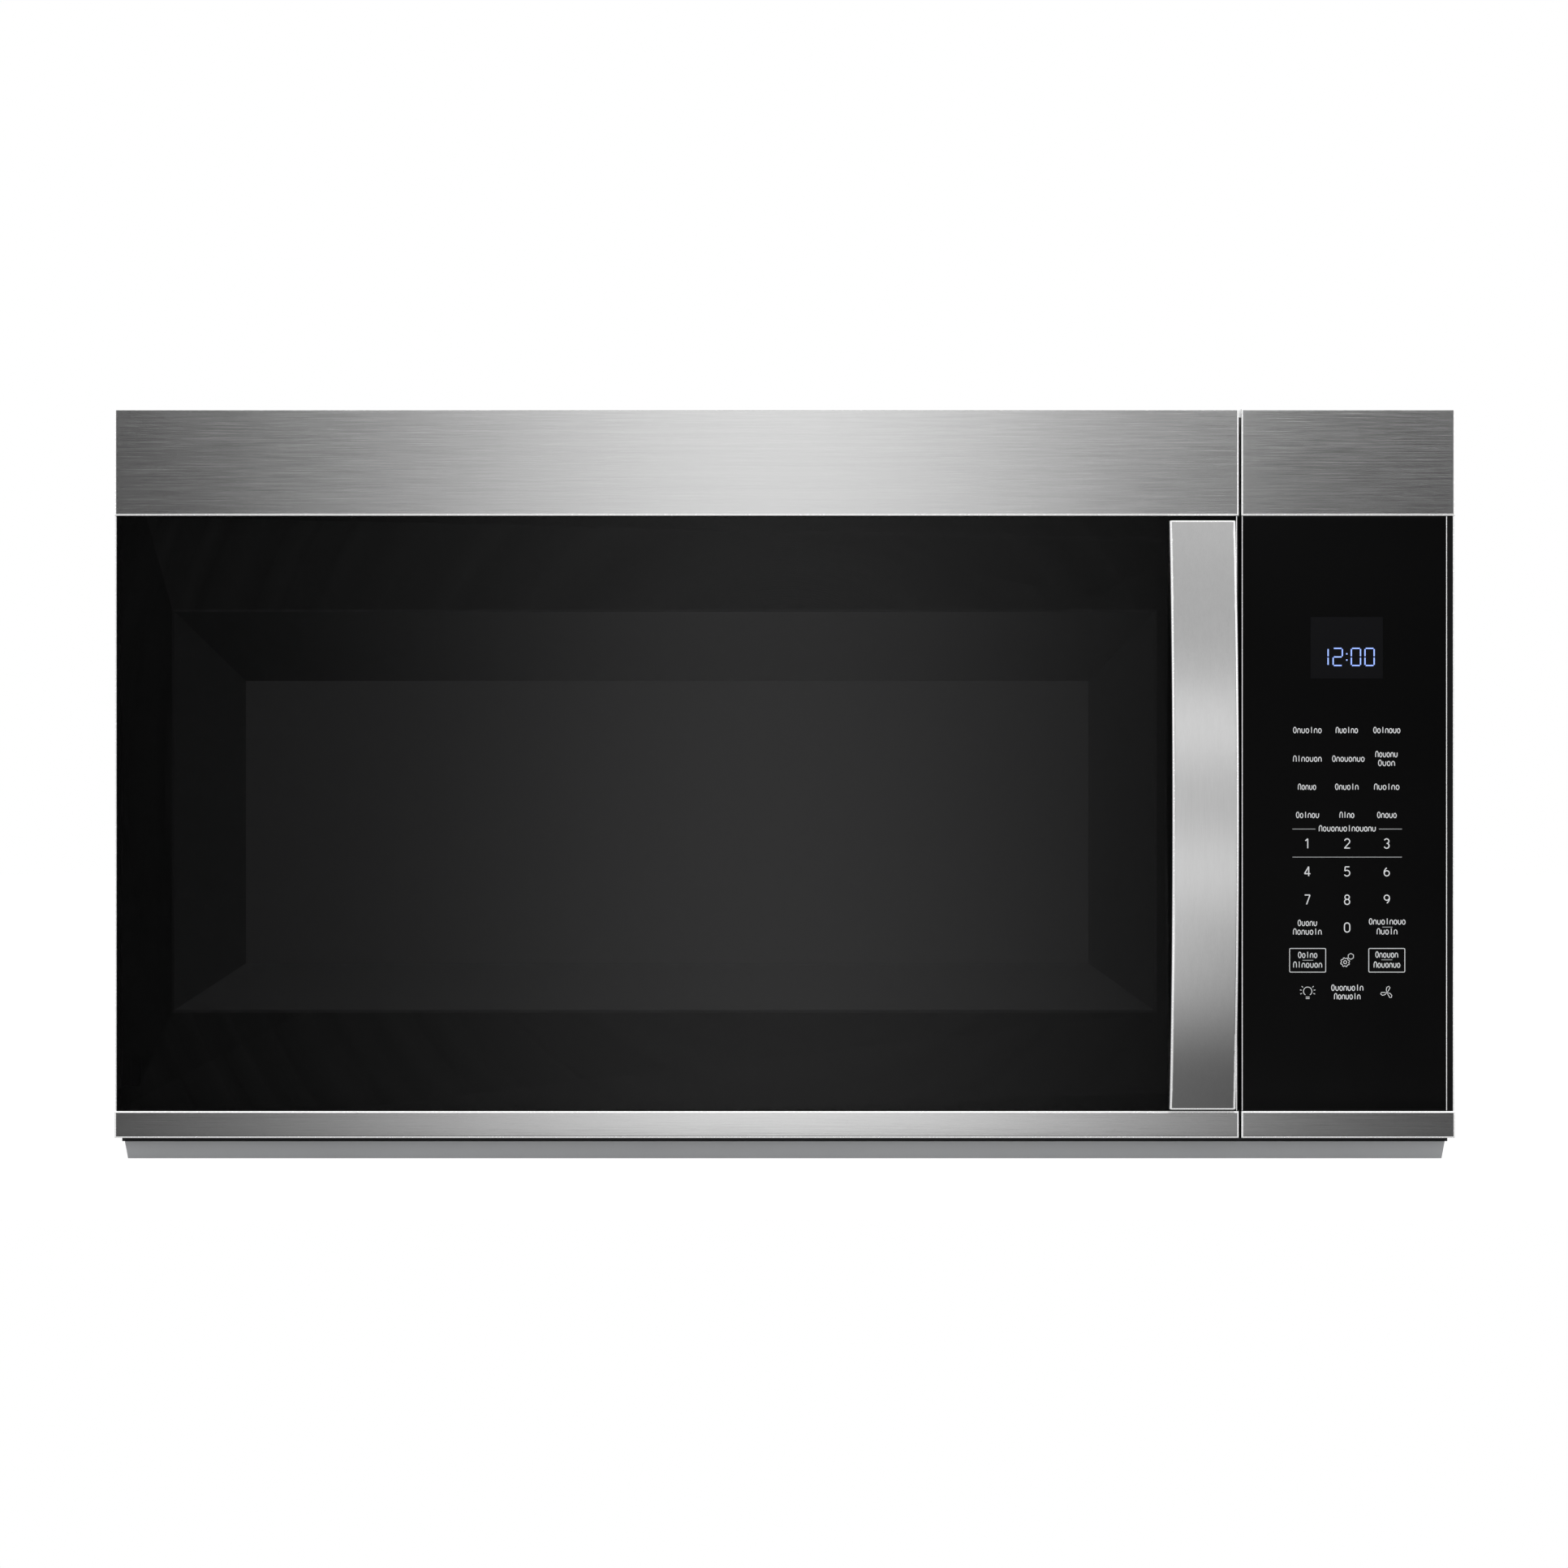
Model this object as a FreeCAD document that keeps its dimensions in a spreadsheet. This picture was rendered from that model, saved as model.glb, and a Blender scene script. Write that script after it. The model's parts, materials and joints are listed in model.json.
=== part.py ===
"""Over-the-range microwave oven with a vented hood.

Frame, in millimetres: +X to the right as seen from the front, +Z up, and the front faces -Y. The origin is on the
rear face that bears on the wall, at mid width, level with the underside of the base pan. Depths are measured
forwards from the wall, so a depth D lies at y = -D.
"""

import FreeCAD, Part
import math
import os

import Sketcher

Vector = FreeCAD.Vector
doc = FreeCAD.newDocument("microwave_hood")
sheet = doc.addObject("Spreadsheet::Sheet", "Sizes")


class Size:
    """A length with the sheet formula that it comes from, so that sums of sizes can be bound to
    features."""

    def __init__(self, value, text):
        self.value = value
        self.text = text

    def _join(self, other, sign, value, swapped=False):
        other_text = other.text if isinstance(other, Size) else repr(other)
        first, second = (other_text, self.text) if swapped else (self.text, other_text)
        return Size(value, f"({first} {sign} {second})")

    def __add__(self, other):
        return self._join(other, "+", self.value + number(other))

    def __radd__(self, other):
        return self._join(other, "+", number(other) + self.value, True)

    def __sub__(self, other):
        return self._join(other, "-", self.value - number(other))

    def __rsub__(self, other):
        return self._join(other, "-", number(other) - self.value, True)

    def __mul__(self, other):
        return self._join(other, "*", self.value * number(other))

    def __rmul__(self, other):
        return self._join(other, "*", number(other) * self.value, True)

    def __truediv__(self, other):
        return self._join(other, "/", self.value / number(other))

    def __rtruediv__(self, other):
        return self._join(other, "/", number(other) / self.value, True)

    def __neg__(self):
        return Size(-self.value, f"(0 - {self.text})")


def number(size):
    return size.value if isinstance(size, Size) else size


def size(name, value):
    """Writes one driving dimension into the sheet and returns it."""
    names.append(name)
    row = len(names)
    sheet.set(f"A{row}", name)
    sheet.set(f"B{row}", str(value))
    sheet.setAlias(f"B{row}", name)
    return Size(float(value), f"Sizes.{name}")


def bind(feature, name, value):
    """Sets a property, and ties it to the sheet where its value is a size."""
    if isinstance(value, Size):
        feature.setExpression(name, value.text)
    elif "." in name:
        feature.setExpression(name, repr(float(value)))
    else:
        setattr(feature, name, value)


names = []

# --- Driving dimensions ---------------------------------------------------------------------------

front_width = size("front_width", 759)
front_top = size("front_top", 424.8)
bottom_gap = size("bottom_gap", 0.5)
control_width = size("control_width", 121)
door_gap = size("door_gap", 1.5)
door_front = size("door_front", 394)
door_depth = size("door_depth", 38)
band_height = size("band_height", 60.6)
bar_height = size("bar_height", 15.2)
band_sheet = size("band_sheet", 0.8)
band_round = size("band_round", 1.2)
bar_return = size("bar_return", 24)
glass_recess = size("glass_recess", 0.6)
glass_thick = size("glass_thick", 4)
glass_inset = size("glass_inset", 1)
glass_round = size("glass_round", 0.5)
running_gap = size("running_gap", 0.3)

case_step = size("case_step", 1.5)
top_step = size("top_step", 2.8)
case_sheet = size("case_sheet", 0.8)
seal_gap = size("seal_gap", 4)
frame_sheet = size("frame_sheet", 1)
rear_sheet = size("rear_sheet", 1)
rear_drop = size("rear_drop", 1.5)
pan_height = size("pan_height", 9.6)
pan_inset = size("pan_inset", 1.7)
pan_slant = size("pan_slant", 1.8)
pan_setback = size("pan_setback", 8)
pan_sheet = size("pan_sheet", 1)
base_thick = size("base_thick", 1.8)
base_gap = size("base_gap", 2)
base_setback = size("base_setback", 2)

oven_left_border = size("oven_left_border", 41.5)
oven_right_border = size("oven_right_border", 55)
floor_space = size("floor_space", 57.6)
ceiling_space = size("ceiling_space", 99)
oven_rear = size("oven_rear", 15)
oven_sheet = size("oven_sheet", 1)

view_left_border = size("view_left_border", 33.7)
view_right_border = size("view_right_border", 47.7)
view_low_border = size("view_low_border", 15.2)
view_high_border = size("view_high_border", 13.2)
bezel_left = size("bezel_left", 38.9)
bezel_right = size("bezel_right", 36.4)
bezel_low = size("bezel_low", 25.9)
bezel_high = size("bezel_high", 38.8)
screen_setback = size("screen_setback", 19.4)
screen_sheet = size("screen_sheet", 0.6)
bezel_wall = size("bezel_wall", 1.5)
bezel_flange = size("bezel_flange", 7.5)
shell_wall = size("shell_wall", 2.5)

choke_border = size("choke_border", 14)
choke_gap = size("choke_gap", 1)
choke_cover_thick = size("choke_cover_thick", 1.2)
choke_sheet = size("choke_sheet", 1)

hinge_inset = size("hinge_inset", 10.5)
hinge_setback = size("hinge_setback", 19)
hinge_pin_radius = size("hinge_pin_radius", 3)
hinge_clearance = size("hinge_clearance", 0.05)
hinge_arm = size("hinge_arm", 2.5)
hinge_arm_half = size("hinge_arm_half", 6.5)
notch_margin = size("notch_margin", 3.5)
hinge_low_inset = size("hinge_low_inset", 24.1)
hinge_high_inset = size("hinge_high_inset", 28.8)
hinge_boss = size("hinge_boss", 17)
hinge_space = size("hinge_space", 2)

handle_inset = size("handle_inset", 39.6)
handle_width = size("handle_width", 37.2)
handle_low_gap = size("handle_low_gap", 1.3)
handle_high_gap = size("handle_high_gap", 3.1)
handle_end = size("handle_end", 10)
handle_bow = size("handle_bow", 30)
handle_foot = size("handle_foot", 22)
handle_grip = size("handle_grip", 8)
handle_round = size("handle_round", 1.6)
handle_screw_radius = size("handle_screw_radius", 2.5)

latch_inset = size("latch_inset", 27)
latch_thick = size("latch_thick", 4)
latch_low_inset = size("latch_low_inset", 36)
latch_high_inset = size("latch_high_inset", 38)
latch_reach = size("latch_reach", 18)
latch_travel = size("latch_travel", 4)

turn_shift = size("turn_shift", 1)
tray_gap = size("tray_gap", 8)
tray_thick = size("tray_thick", 5)
tray_rim = size("tray_rim", 8)
tray_rim_bow = size("tray_rim_bow", 1.3)
roller_radius = size("roller_radius", 8)
roller_width = size("roller_width", 7)
roller_circle = size("roller_circle", 100)
ring_width = size("ring_width", 7)
axle_radius = size("axle_radius", 2)
axle_clearance = size("axle_clearance", 0.06)
coupler_radius = size("coupler_radius", 15)
shaft_radius = size("shaft_radius", 4)
motor_radius = size("motor_radius", 25)
motor_height = size("motor_height", 18)

duct_width = size("duct_width", 254)
duct_depth = size("duct_depth", 82.6)
duct_rear = size("duct_rear", 32)
duct_height = size("duct_height", 14)
duct_sheet = size("duct_sheet", 1)
flap_thick = size("flap_thick", 1.2)
flap_pin_radius = size("flap_pin_radius", 1.5)

blower_depth = size("blower_depth", 96)
blower_shift = size("blower_shift", 0.5)
wheel_radius = size("wheel_radius", 38)
wheel_near = size("wheel_near", 50)
wheel_far = size("wheel_far", 138)
scroll_wall = size("scroll_wall", 2)
blower_shaft = size("blower_shaft", 4)
blower_motor_radius = size("blower_motor_radius", 36)

fan_inset = size("fan_inset", 31.5)
fan_rise = size("fan_rise", 131)
fan_radius = size("fan_radius", 55)
fan_depth = size("fan_depth", 46)
fan_width = size("fan_width", 14)
fan_bore = size("fan_bore", 58)
fan_shaft = size("fan_shaft", 3)
paddle_sheet = size("paddle_sheet", 3)

filter_x = size("filter_x", 150)
filter_depth = size("filter_depth", 150)
filter_width = size("filter_width", 267)
filter_length = size("filter_length", 127)
filter_thick = size("filter_thick", 7)
filter_ledge = size("filter_ledge", 8)
lens_width = size("lens_width", 90)
lens_length = size("lens_length", 50)
lens_setback = size("lens_setback", 86)
lens_x = size("lens_x", 200)
lens_thick = size("lens_thick", 3)

bolt_spacing = size("bolt_spacing", 457)
bolt_depth = size("bolt_depth", 200)
bolt_hole = size("bolt_hole", 3.3)
slot_spacing = size("slot_spacing", 406)
slot_length = size("slot_length", 40)
slot_half = size("slot_half", 4)
slot_height = size("slot_height", 60)
cord_inset = size("cord_inset", 38)
cord_depth = size("cord_depth", 60)
cord_hole = size("cord_hole", 14)
grommet_bore = size("grommet_bore", 5)

grille_width = size("grille_width", 380)
grille_length = size("grille_length", 50)
grille_setback = size("grille_setback", 35)
grille_thick = size("grille_thick", 4)
grille_flange = size("grille_flange", 5)
louvre_bar = size("louvre_bar", 5.4)
louvre_rib = size("louvre_rib", 4.9)
charcoal_height = size("charcoal_height", 12)
hook_height = size("hook_height", 8)
hook_tip = size("hook_tip", 4)
hook_tip_length = size("hook_tip_length", 6)
shaft_gap = size("shaft_gap", 1)
oven_light_inset = size("oven_light_inset", 88)
oven_light_depth = size("oven_light_depth", 200)
oven_light_size = size("oven_light_size", 30)
guide_near = size("guide_near", 150)
guide_far = size("guide_far", 246)
guide_drop = size("guide_drop", 87)
guide_height = size("guide_height", 50)
guide_reach = size("guide_reach", 82)
guide_wall = size("guide_wall", 1.5)
antenna_reach = size("antenna_reach", 60)
antenna_radius = size("antenna_radius", 8)
anode_radius = size("anode_radius", 22)
anode_height = size("anode_height", 60)
transformer_inset = size("transformer_inset", 16.5)
transformer_depth = size("transformer_depth", 115)
capacitor_inset = size("capacitor_inset", 26)
capacitor_depth = size("capacitor_depth", 110)
capacitor_radius = size("capacitor_radius", 16)
capacitor_height = size("capacitor_height", 104)
module_depth = size("module_depth", 21.8)
board_thick = size("board_thick", 1.6)
display_inset = size("display_inset", 39.2)
display_width = size("display_width", 40.9)
display_height = size("display_height", 34.8)
display_gap = size("display_gap", 57.4)
edge_recess = size("edge_recess", 4.6)
latch_plate_inset = size("latch_plate_inset", 17)
latch_plate = size("latch_plate", 3)
spring_radius = size("spring_radius", 3)
spring_wire = size("spring_wire", 0.4)
spring_length = size("spring_length", 16)
spring_pitch = size("spring_pitch", 2)

cover_sheet = size("cover_sheet", 0.8)
yoke = size("yoke", 2)
fin_reach = size("fin_reach", 18)
fin_share = size("fin_share", 0.9)
fin_sheet = size("fin_sheet", 0.8)
antenna_length = size("antenna_length", 28)
filter_box = size("filter_box", 26)
core_width = size("core_width", 92)
core_depth = size("core_depth", 60)
core_height = size("core_height", 76)
coil_depth = size("coil_depth", 90)
coil_share = size("coil_share", 0.34)
foot_sheet = size("foot_sheet", 2)
foot_reach = size("foot_reach", 8)
capacitor_flat = size("capacitor_flat", 0.9)
terminal_radius = size("terminal_radius", 3)
shroud_border = size("shroud_border", 6)
shroud_sheet = size("shroud_sheet", 2)
bar_sheet = size("bar_sheet", 2)
bar_half = size("bar_half", 8)
fan_motor_radius = size("fan_motor_radius", 24)
fan_motor_length = size("fan_motor_length", 22)
fan_hub = size("fan_hub", 12)
scroll_space = size("scroll_space", 6)
vane_reach = size("vane_reach", 8)
vane_sheet = size("vane_sheet", 1)
duct_flange = size("duct_flange", 8)
flap_pin_depth = size("flap_pin_depth", 38)
flap_rise = size("flap_rise", 6.6)
flap_gap = size("flap_gap", 0.8)
lamp_radius = size("lamp_radius", 9)
lug_height = size("lug_height", 7)
lug_width = size("lug_width", 7)
lug_inner = size("lug_inner", 8)
coupler_hub = size("coupler_hub", 4.8)
ring_thick = size("ring_thick", 3)
axle_reach = size("axle_reach", 2)
hinge_plate_half = size("hinge_plate_half", 18)
hinge_plate_width = size("hinge_plate_width", 20)
hinge_head = size("hinge_head", 5)
pin_short = size("pin_short", 3.4)
rail_thick = size("rail_thick", 4)
rail_depth = size("rail_depth", 28)
bar_depth = size("bar_depth", 8)
catch_gap = size("catch_gap", 1)
catch_depth = size("catch_depth", 4)
switch_length = size("switch_length", 26)
switch_height = size("switch_height", 16)
switch_width = size("switch_width", 10)
post_half = size("post_half", 5)
relay_step = size("relay_step", 24)
relay_rise = size("relay_rise", 34)
relay_first = size("relay_first", 30)
relay_width = size("relay_width", 16)
relay_height = size("relay_height", 20)
grommet_flange = size("grommet_flange", 4)
head_height = size("head_height", 2.5)

FINS = 7
FAN_BLADES = 5
WHEEL_VANES = 28
LOUVRE_ROWS = 4
LOUVRE_COLUMNS = 14
TRAY_LUGS = 3
ROLLERS = 3
LUG_START = 60
ROLLER_START = 30
WIRE_SIDES = 8

# --- Places tied to the pieces around them --------------------------------------------------------

front_half = front_width / 2
case_half = front_half - case_step
base_half = case_half - base_gap
pan_top_half = base_half - pan_inset
door_left = -front_half
panel_left = front_half - control_width
door_right = panel_left - door_gap
hinge_x = door_left + hinge_inset
oven_left = door_left + oven_left_border
oven_right = door_right - oven_right_border
turn_x = (oven_left + oven_right) / 2
view_left = door_left + view_left_border
view_right = door_right - view_right_border
screen_left = view_left + bezel_left
screen_right = view_right - bezel_right
handle_left = door_right - handle_inset
latch_x = door_right - latch_inset
latch_plate_x = door_right - latch_plate_inset
oven_light_x = oven_left + oven_light_inset
antenna_x = oven_right + antenna_reach
fan_x = panel_left + fan_inset
transformer_x = panel_left + transformer_inset
capacitor_x = case_half - capacitor_inset
cord_x = case_half - cord_inset
display_left = panel_left + display_inset
display_right = display_left + display_width

door_rear = door_front - door_depth
frame_face = door_rear - seal_gap
oven_front = frame_face - frame_sheet
glass_front = door_front - glass_recess
glass_back = glass_front - glass_thick
hinge_depth = door_rear + hinge_setback
board_depth = glass_back - module_depth - board_thick
screen_depth = glass_back - screen_setback
choke_rear = frame_face + choke_gap
choke_front = screen_depth - screen_sheet
choke_plate = choke_rear + choke_cover_thick
pan_front = door_front - pan_setback
base_front = pan_front - base_setback
lens_depth = pan_front - lens_setback
grille_depth = frame_face - grille_setback
turn_depth = (oven_rear + oven_front) / 2 - turn_shift
tray_radius = (oven_front - oven_rear) / 2 - tray_gap

base_top = pan_height + base_thick
door_bottom = base_top + bottom_gap
bar_top = door_bottom + bar_height
band_bottom = front_top - band_height
case_top = front_top - top_step
oven_floor = base_top + floor_space
oven_ceiling = case_top - ceiling_space
view_bottom = oven_floor + view_low_border
view_top = oven_ceiling - view_high_border
screen_bottom = view_bottom + bezel_low
screen_top = view_top - bezel_high
hinge_low = door_bottom + hinge_low_inset
hinge_high = front_top - hinge_high_inset
handle_bottom = bar_top + handle_low_gap
handle_top = band_bottom - handle_high_gap
latch_low = oven_floor + latch_low_inset
latch_high = oven_ceiling - latch_high_inset
blower_z = (oven_ceiling + case_top) / 2 - blower_shift
flap_height = case_top + flap_rise
display_high = band_bottom - display_gap
display_low = display_high - display_height
fan_z = oven_floor + fan_rise
guide_low = oven_ceiling - guide_drop
guide_high = guide_low + guide_height

choke_left = oven_left - choke_border
choke_right = oven_right + choke_border
choke_bottom = oven_floor - choke_border
choke_top = oven_ceiling + choke_border


# --- Drawing helpers ------------------------------------------------------------------------------

def rectangle(left, low, right, high):
    return [(left, low), (right, low), (right, high), (left, high)]


def circle(across, up, radius):
    return ("circle", across, up, radius)


def measure(kind, value, places):
    """A sketch measure, with the sheet formula that it follows."""
    return Sketcher.Constraint(kind, *places, number(value)), value


def draw_circle(sketch, across, up, radius):
    centre = Vector(number(across), number(up), 0)
    made = sketch.addGeometry(Part.Circle(centre, Vector(0, 0, 1), number(radius)), False)
    return [
        measure("DistanceX", across, (-1, 1, made, 3)),
        measure("DistanceY", up, (-1, 1, made, 3)),
        measure("Radius", radius, (made,)),
    ]


def bow_radius(first, last, rise):
    """Radius of an arc from its two ends and its rise over the chord."""
    across = last[0] - first[0]
    up = last[1] - first[1]
    return (across * across + up * up) / (8 * rise) + rise / 2


def bow_middle(first, last, rise):
    """The middle point of an arc whose rise lies to the left of its chord."""
    start = Vector(number(first[0]), number(first[1]), 0)
    end = Vector(number(last[0]), number(last[1]), 0)
    chord = end - start
    left = Vector(-chord.y, chord.x, 0).normalize()
    return (start + end) * 0.5 + left * number(rise)


def draw_outline(sketch, corners):
    """A closed outline. A corner of three values is reached by an arc whose rise is the third."""
    ends = []
    measures = []
    for index, corner in enumerate(corners):
        before = corners[index - 1]
        start = Vector(number(before[0]), number(before[1]), 0)
        end = Vector(number(corner[0]), number(corner[1]), 0)
        if len(corner) == 2:
            made = sketch.addGeometry(Part.LineSegment(start, end), False)
            ends.append((made, 1, 2))
            continue
        middle = bow_middle(before, corner, corner[2])
        if number(corner[2]) > 0:
            ends.append((sketch.addGeometry(Part.Arc(end, middle, start), False), 2, 1))
        else:
            ends.append((sketch.addGeometry(Part.Arc(start, middle, end), False), 1, 2))
    for index, corner in enumerate(corners):
        made, head, tail = ends[index]
        following, next_head, next_tail = ends[(index + 1) % len(corners)]
        measures.append((Sketcher.Constraint("Coincident", made, tail, following, next_head), 0))
        measures.append(measure("DistanceX", corner[0], (-1, 1, made, tail)))
        measures.append(measure("DistanceY", corner[1], (-1, 1, made, tail)))
        if len(corner) == 3:
            rise = corner[2] if number(corner[2]) > 0 else -corner[2]
            radius = bow_radius(corners[index - 1], corner, rise)
            measures.append(measure("Radius", radius, (made,)))
    return measures


class Piece:
    """A body built from sketches on its own origin planes. On XZ the start and end are depths from
    the wall."""

    def __init__(self, label):
        self.body = doc.addObject("PartDesign::Body", label)
        self.body.Label = label
        self.count = 0

    def name(self, kind):
        self.count += 1
        return f"{self.body.Name}_{kind}_{self.count}"

    def sketch(self, plane, outlines, start, across=0, up=0):
        made = self.body.newObject("Sketcher::SketchObject", self.name("sketch"))
        planes = [f for f in self.body.Origin.OriginFeatures if f.Role == f"{plane}_Plane"]
        made.AttachmentSupport = (planes[0], "")
        made.MapMode = "FlatFace"
        for axis, value in (("x", across), ("y", up), ("z", start)):
            bind(made, f".AttachmentOffset.Base.{axis}", value)
        measures = []
        for outline in outlines:
            if outline[0] == "circle":
                measures += draw_circle(made, *outline[1:])
            else:
                measures += draw_outline(made, outline)
        made.addConstraint([constraint for constraint, value in measures])
        for index, (constraint, value) in enumerate(measures):
            if isinstance(value, Size):
                made.setExpression(f"Constraints[{index}]", value.text)
        return made

    def pad(self, plane, outlines, start, end):
        made = self.sketch(plane, outlines, start)
        feature = self.body.newObject("PartDesign::Pad", self.name("pad"))
        feature.Profile = made
        bind(feature, "Length", end - start)
        return self

    def pocket(self, plane, outlines, start, end):
        made = self.sketch(plane, outlines, start)
        feature = self.body.newObject("PartDesign::Pocket", self.name("pocket"))
        feature.Profile = made
        feature.Reversed = True
        bind(feature, "Length", end - start)
        cuts.append((self.body, feature))
        return self

    def turn(self, plane, outline, axis, across, up, start, kind="Revolution"):
        """Turns an outline about the sketch's own axis, which is set at a place across, up and
        along the normal."""
        made = self.sketch(plane, [outline], start, across, up)
        feature = self.body.newObject(f"PartDesign::{kind}", self.name("turn"))
        feature.Profile = made
        feature.ReferenceAxis = (made, [axis])
        feature.Angle = 360
        if kind == "Groove":
            cuts.append((self.body, feature))
        return self

    def loft(self, sections, kind="AdditiveLoft"):
        """Joins outlines on XZ, given with their depths, by a straight-sided loft."""
        made = [self.sketch("XZ", [outline], depth) for outline, depth in sections]
        feature = self.body.newObject(f"PartDesign::{kind}", self.name("loft"))
        feature.Profile = made[0]
        feature.Sections = made[1:]
        feature.Ruled = True
        if kind == "SubtractiveLoft":
            cuts.append((self.body, feature))
        return self

    def soften(self, radius, chosen, kind="Fillet"):
        """Rounds or bevels the edges that the test picks, by their middle point and direction."""
        doc.recompute()
        base = self.body.Tip
        edges = []
        for index, edge in enumerate(base.Shape.Edges):
            span = edge.Vertexes[-1].Point - edge.Vertexes[0].Point
            if span.Length > 1e-6 and chosen(edge.CenterOfMass, span.normalize()):
                edges.append(f"Edge{index + 1}")
        feature = self.body.newObject(f"PartDesign::{kind}", self.name("round"))
        feature.Base = (base, edges)
        bind(feature, "Radius" if kind == "Fillet" else "Size", radius)
        return self

    def done(self):
        pieces[self.body.Label] = self.body
        return self.body


pieces = {}
cuts = []
spare = {"count": 0}


def primitive(kind, name):
    spare["count"] += 1
    return doc.addObject(f"Part::{kind}", f"{name}_{spare['count']}")


def block(left, right, near, far, low, high):
    """A plain block between two sides, two depths and two heights."""
    made = primitive("Box", "block")
    bind(made, "Length", right - left)
    bind(made, "Width", far - near)
    bind(made, "Height", high - low)
    bind(made, ".Placement.Base.x", left)
    bind(made, ".Placement.Base.y", 0 - far)
    bind(made, ".Placement.Base.z", low)
    return made


TURNS = {
    "up": FreeCAD.Rotation(),
    "right": FreeCAD.Rotation(Vector(0, 1, 0), 90),
    "forward": FreeCAD.Rotation(Vector(1, 0, 0), 90),
}


def rod(way, centre, radius, start, end):
    """A cylinder along one way. Its centre is (depth, height), (x, height) or (x, depth), as the
    way leaves free."""
    made = primitive("Cylinder", "rod")
    made.Placement = FreeCAD.Placement(Vector(), TURNS[way])
    places = {
        "right": (start, centre[0], centre[1]),
        "forward": (centre[0], start, centre[1]),
        "up": (centre[0], centre[1], start),
    }
    across, depth, height = places[way]
    bind(made, "Radius", radius)
    bind(made, "Height", end - start)
    bind(made, ".Placement.Base.x", across)
    bind(made, ".Placement.Base.y", 0 - depth)
    bind(made, ".Placement.Base.z", height)
    return made


def fuse(parts, label=None):
    made = primitive("MultiFuse", "joined")
    made.Shapes = parts
    return keep(made, label)


def cut(base, tools, label=None):
    made = primitive("Cut", "cut")
    made.Base = base
    made.Tool = tools[0] if len(tools) == 1 else fuse(tools)
    return keep(made, label)


def group(parts, label):
    """Several separate solids that share a node."""
    made = primitive("Compound", "group")
    made.Links = parts
    return keep(made, label)


def keep(made, label):
    if label:
        made.Label = label
        pieces[label] = made
    return made


def lies(value, wanted):
    return abs(value - number(wanted)) < 1e-4


def window(across, up, width, height):
    """A rectangle about its own centre."""
    return rectangle(across - width / 2, up - height / 2, across + width / 2, up + height / 2)


# --- Case and chassis -----------------------------------------------------------------------------

duct_front = duct_rear + duct_depth
duct_middle = duct_rear + duct_depth / 2


def make_case():
    """The wrap: two sides and a top folded from one sheet, open below, in front and behind."""
    case = Piece("outer_case")
    inner = case_half - case_sheet
    under = case_top - case_sheet
    wrap = [
        (-case_half, base_top), (-inner, base_top), (-inner, under), (inner, under),
        (inner, base_top), (case_half, base_top), (case_half, case_top), (-case_half, case_top),
    ]
    case.pad("XZ", [wrap], rear_sheet, oven_front)
    openings = [
        window(0, -duct_middle, duct_width - 2 * duct_sheet, duct_depth - 2 * duct_sheet),
        circle(-bolt_spacing / 2, -bolt_depth, bolt_hole),
        circle(bolt_spacing / 2, -bolt_depth, bolt_hole),
        circle(cord_x, -cord_depth, cord_hole),
        window(0, -grille_depth, grille_width, grille_length),
    ]
    case.pocket("XY", openings, under - case_sheet, case_top + case_sheet)
    case.done()


def make_rear_panel():
    """The flat back, with two long slots that hook over the tabs of the wall plate."""
    panel = Piece("rear_panel")
    panel.pad("XZ", [rectangle(-case_half, -rear_drop, case_half, case_top)], 0 * rear_sheet, rear_sheet)
    straight = slot_length / 2 - slot_half
    ends = []
    middles = []
    for side in (-1, 1):
        middle = side * slot_spacing / 2
        middles.append(window(middle, slot_height, 2 * straight, 2 * slot_half))
        ends.append(circle(middle - straight, slot_height, slot_half))
        ends.append(circle(middle + straight, slot_height, slot_half))
    panel.pocket("XZ", ends, -rear_sheet, 2 * rear_sheet)
    panel.pocket("XZ", middles, -rear_sheet, 2 * rear_sheet)
    panel.done()


def base_openings():
    """What passes through the bottom: the two filters and the two lamp windows."""
    inner = filter_width - 2 * filter_ledge
    along = filter_length - 2 * filter_ledge
    places = []
    for side in (-1, 1):
        places.append(window(side * filter_x, -filter_depth, inner, along))
        places.append(window(side * lens_x, -lens_depth, lens_width, lens_length))
    return places


def make_base():
    """The dark chassis base, and the pale pan that hangs under it and shows as a slanted lip in front."""
    base = Piece("chassis_base")
    outline = rectangle(-base_half, -base_front, base_half, -rear_sheet)
    base.pad("XY", [outline], pan_height, base_top)
    base.pocket("XY", base_openings(), pan_height - base_thick, base_top + base_thick)
    base.done()
    pan = Piece("base_pan")
    foot = pan_top_half - pan_slant
    outer = [
        (-foot, 0 * pan_height), (foot, 0 * pan_height), (pan_top_half, pan_height),
        (-pan_top_half, pan_height),
    ]
    inner_foot = foot - pan_sheet
    inner_top = pan_top_half - pan_sheet
    inner = [
        (-inner_foot, pan_sheet), (inner_foot, pan_sheet),
        (inner_top, pan_height + pan_sheet), (-inner_top, pan_height + pan_sheet),
    ]
    pan.pad("XZ", [outer], rear_sheet, pan_front)
    pan.pocket("XZ", [inner], rear_sheet + pan_sheet, pan_front - pan_sheet)
    pan.pocket("XY", base_openings(), -pan_sheet, 2 * pan_sheet)
    pan.done()


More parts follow.
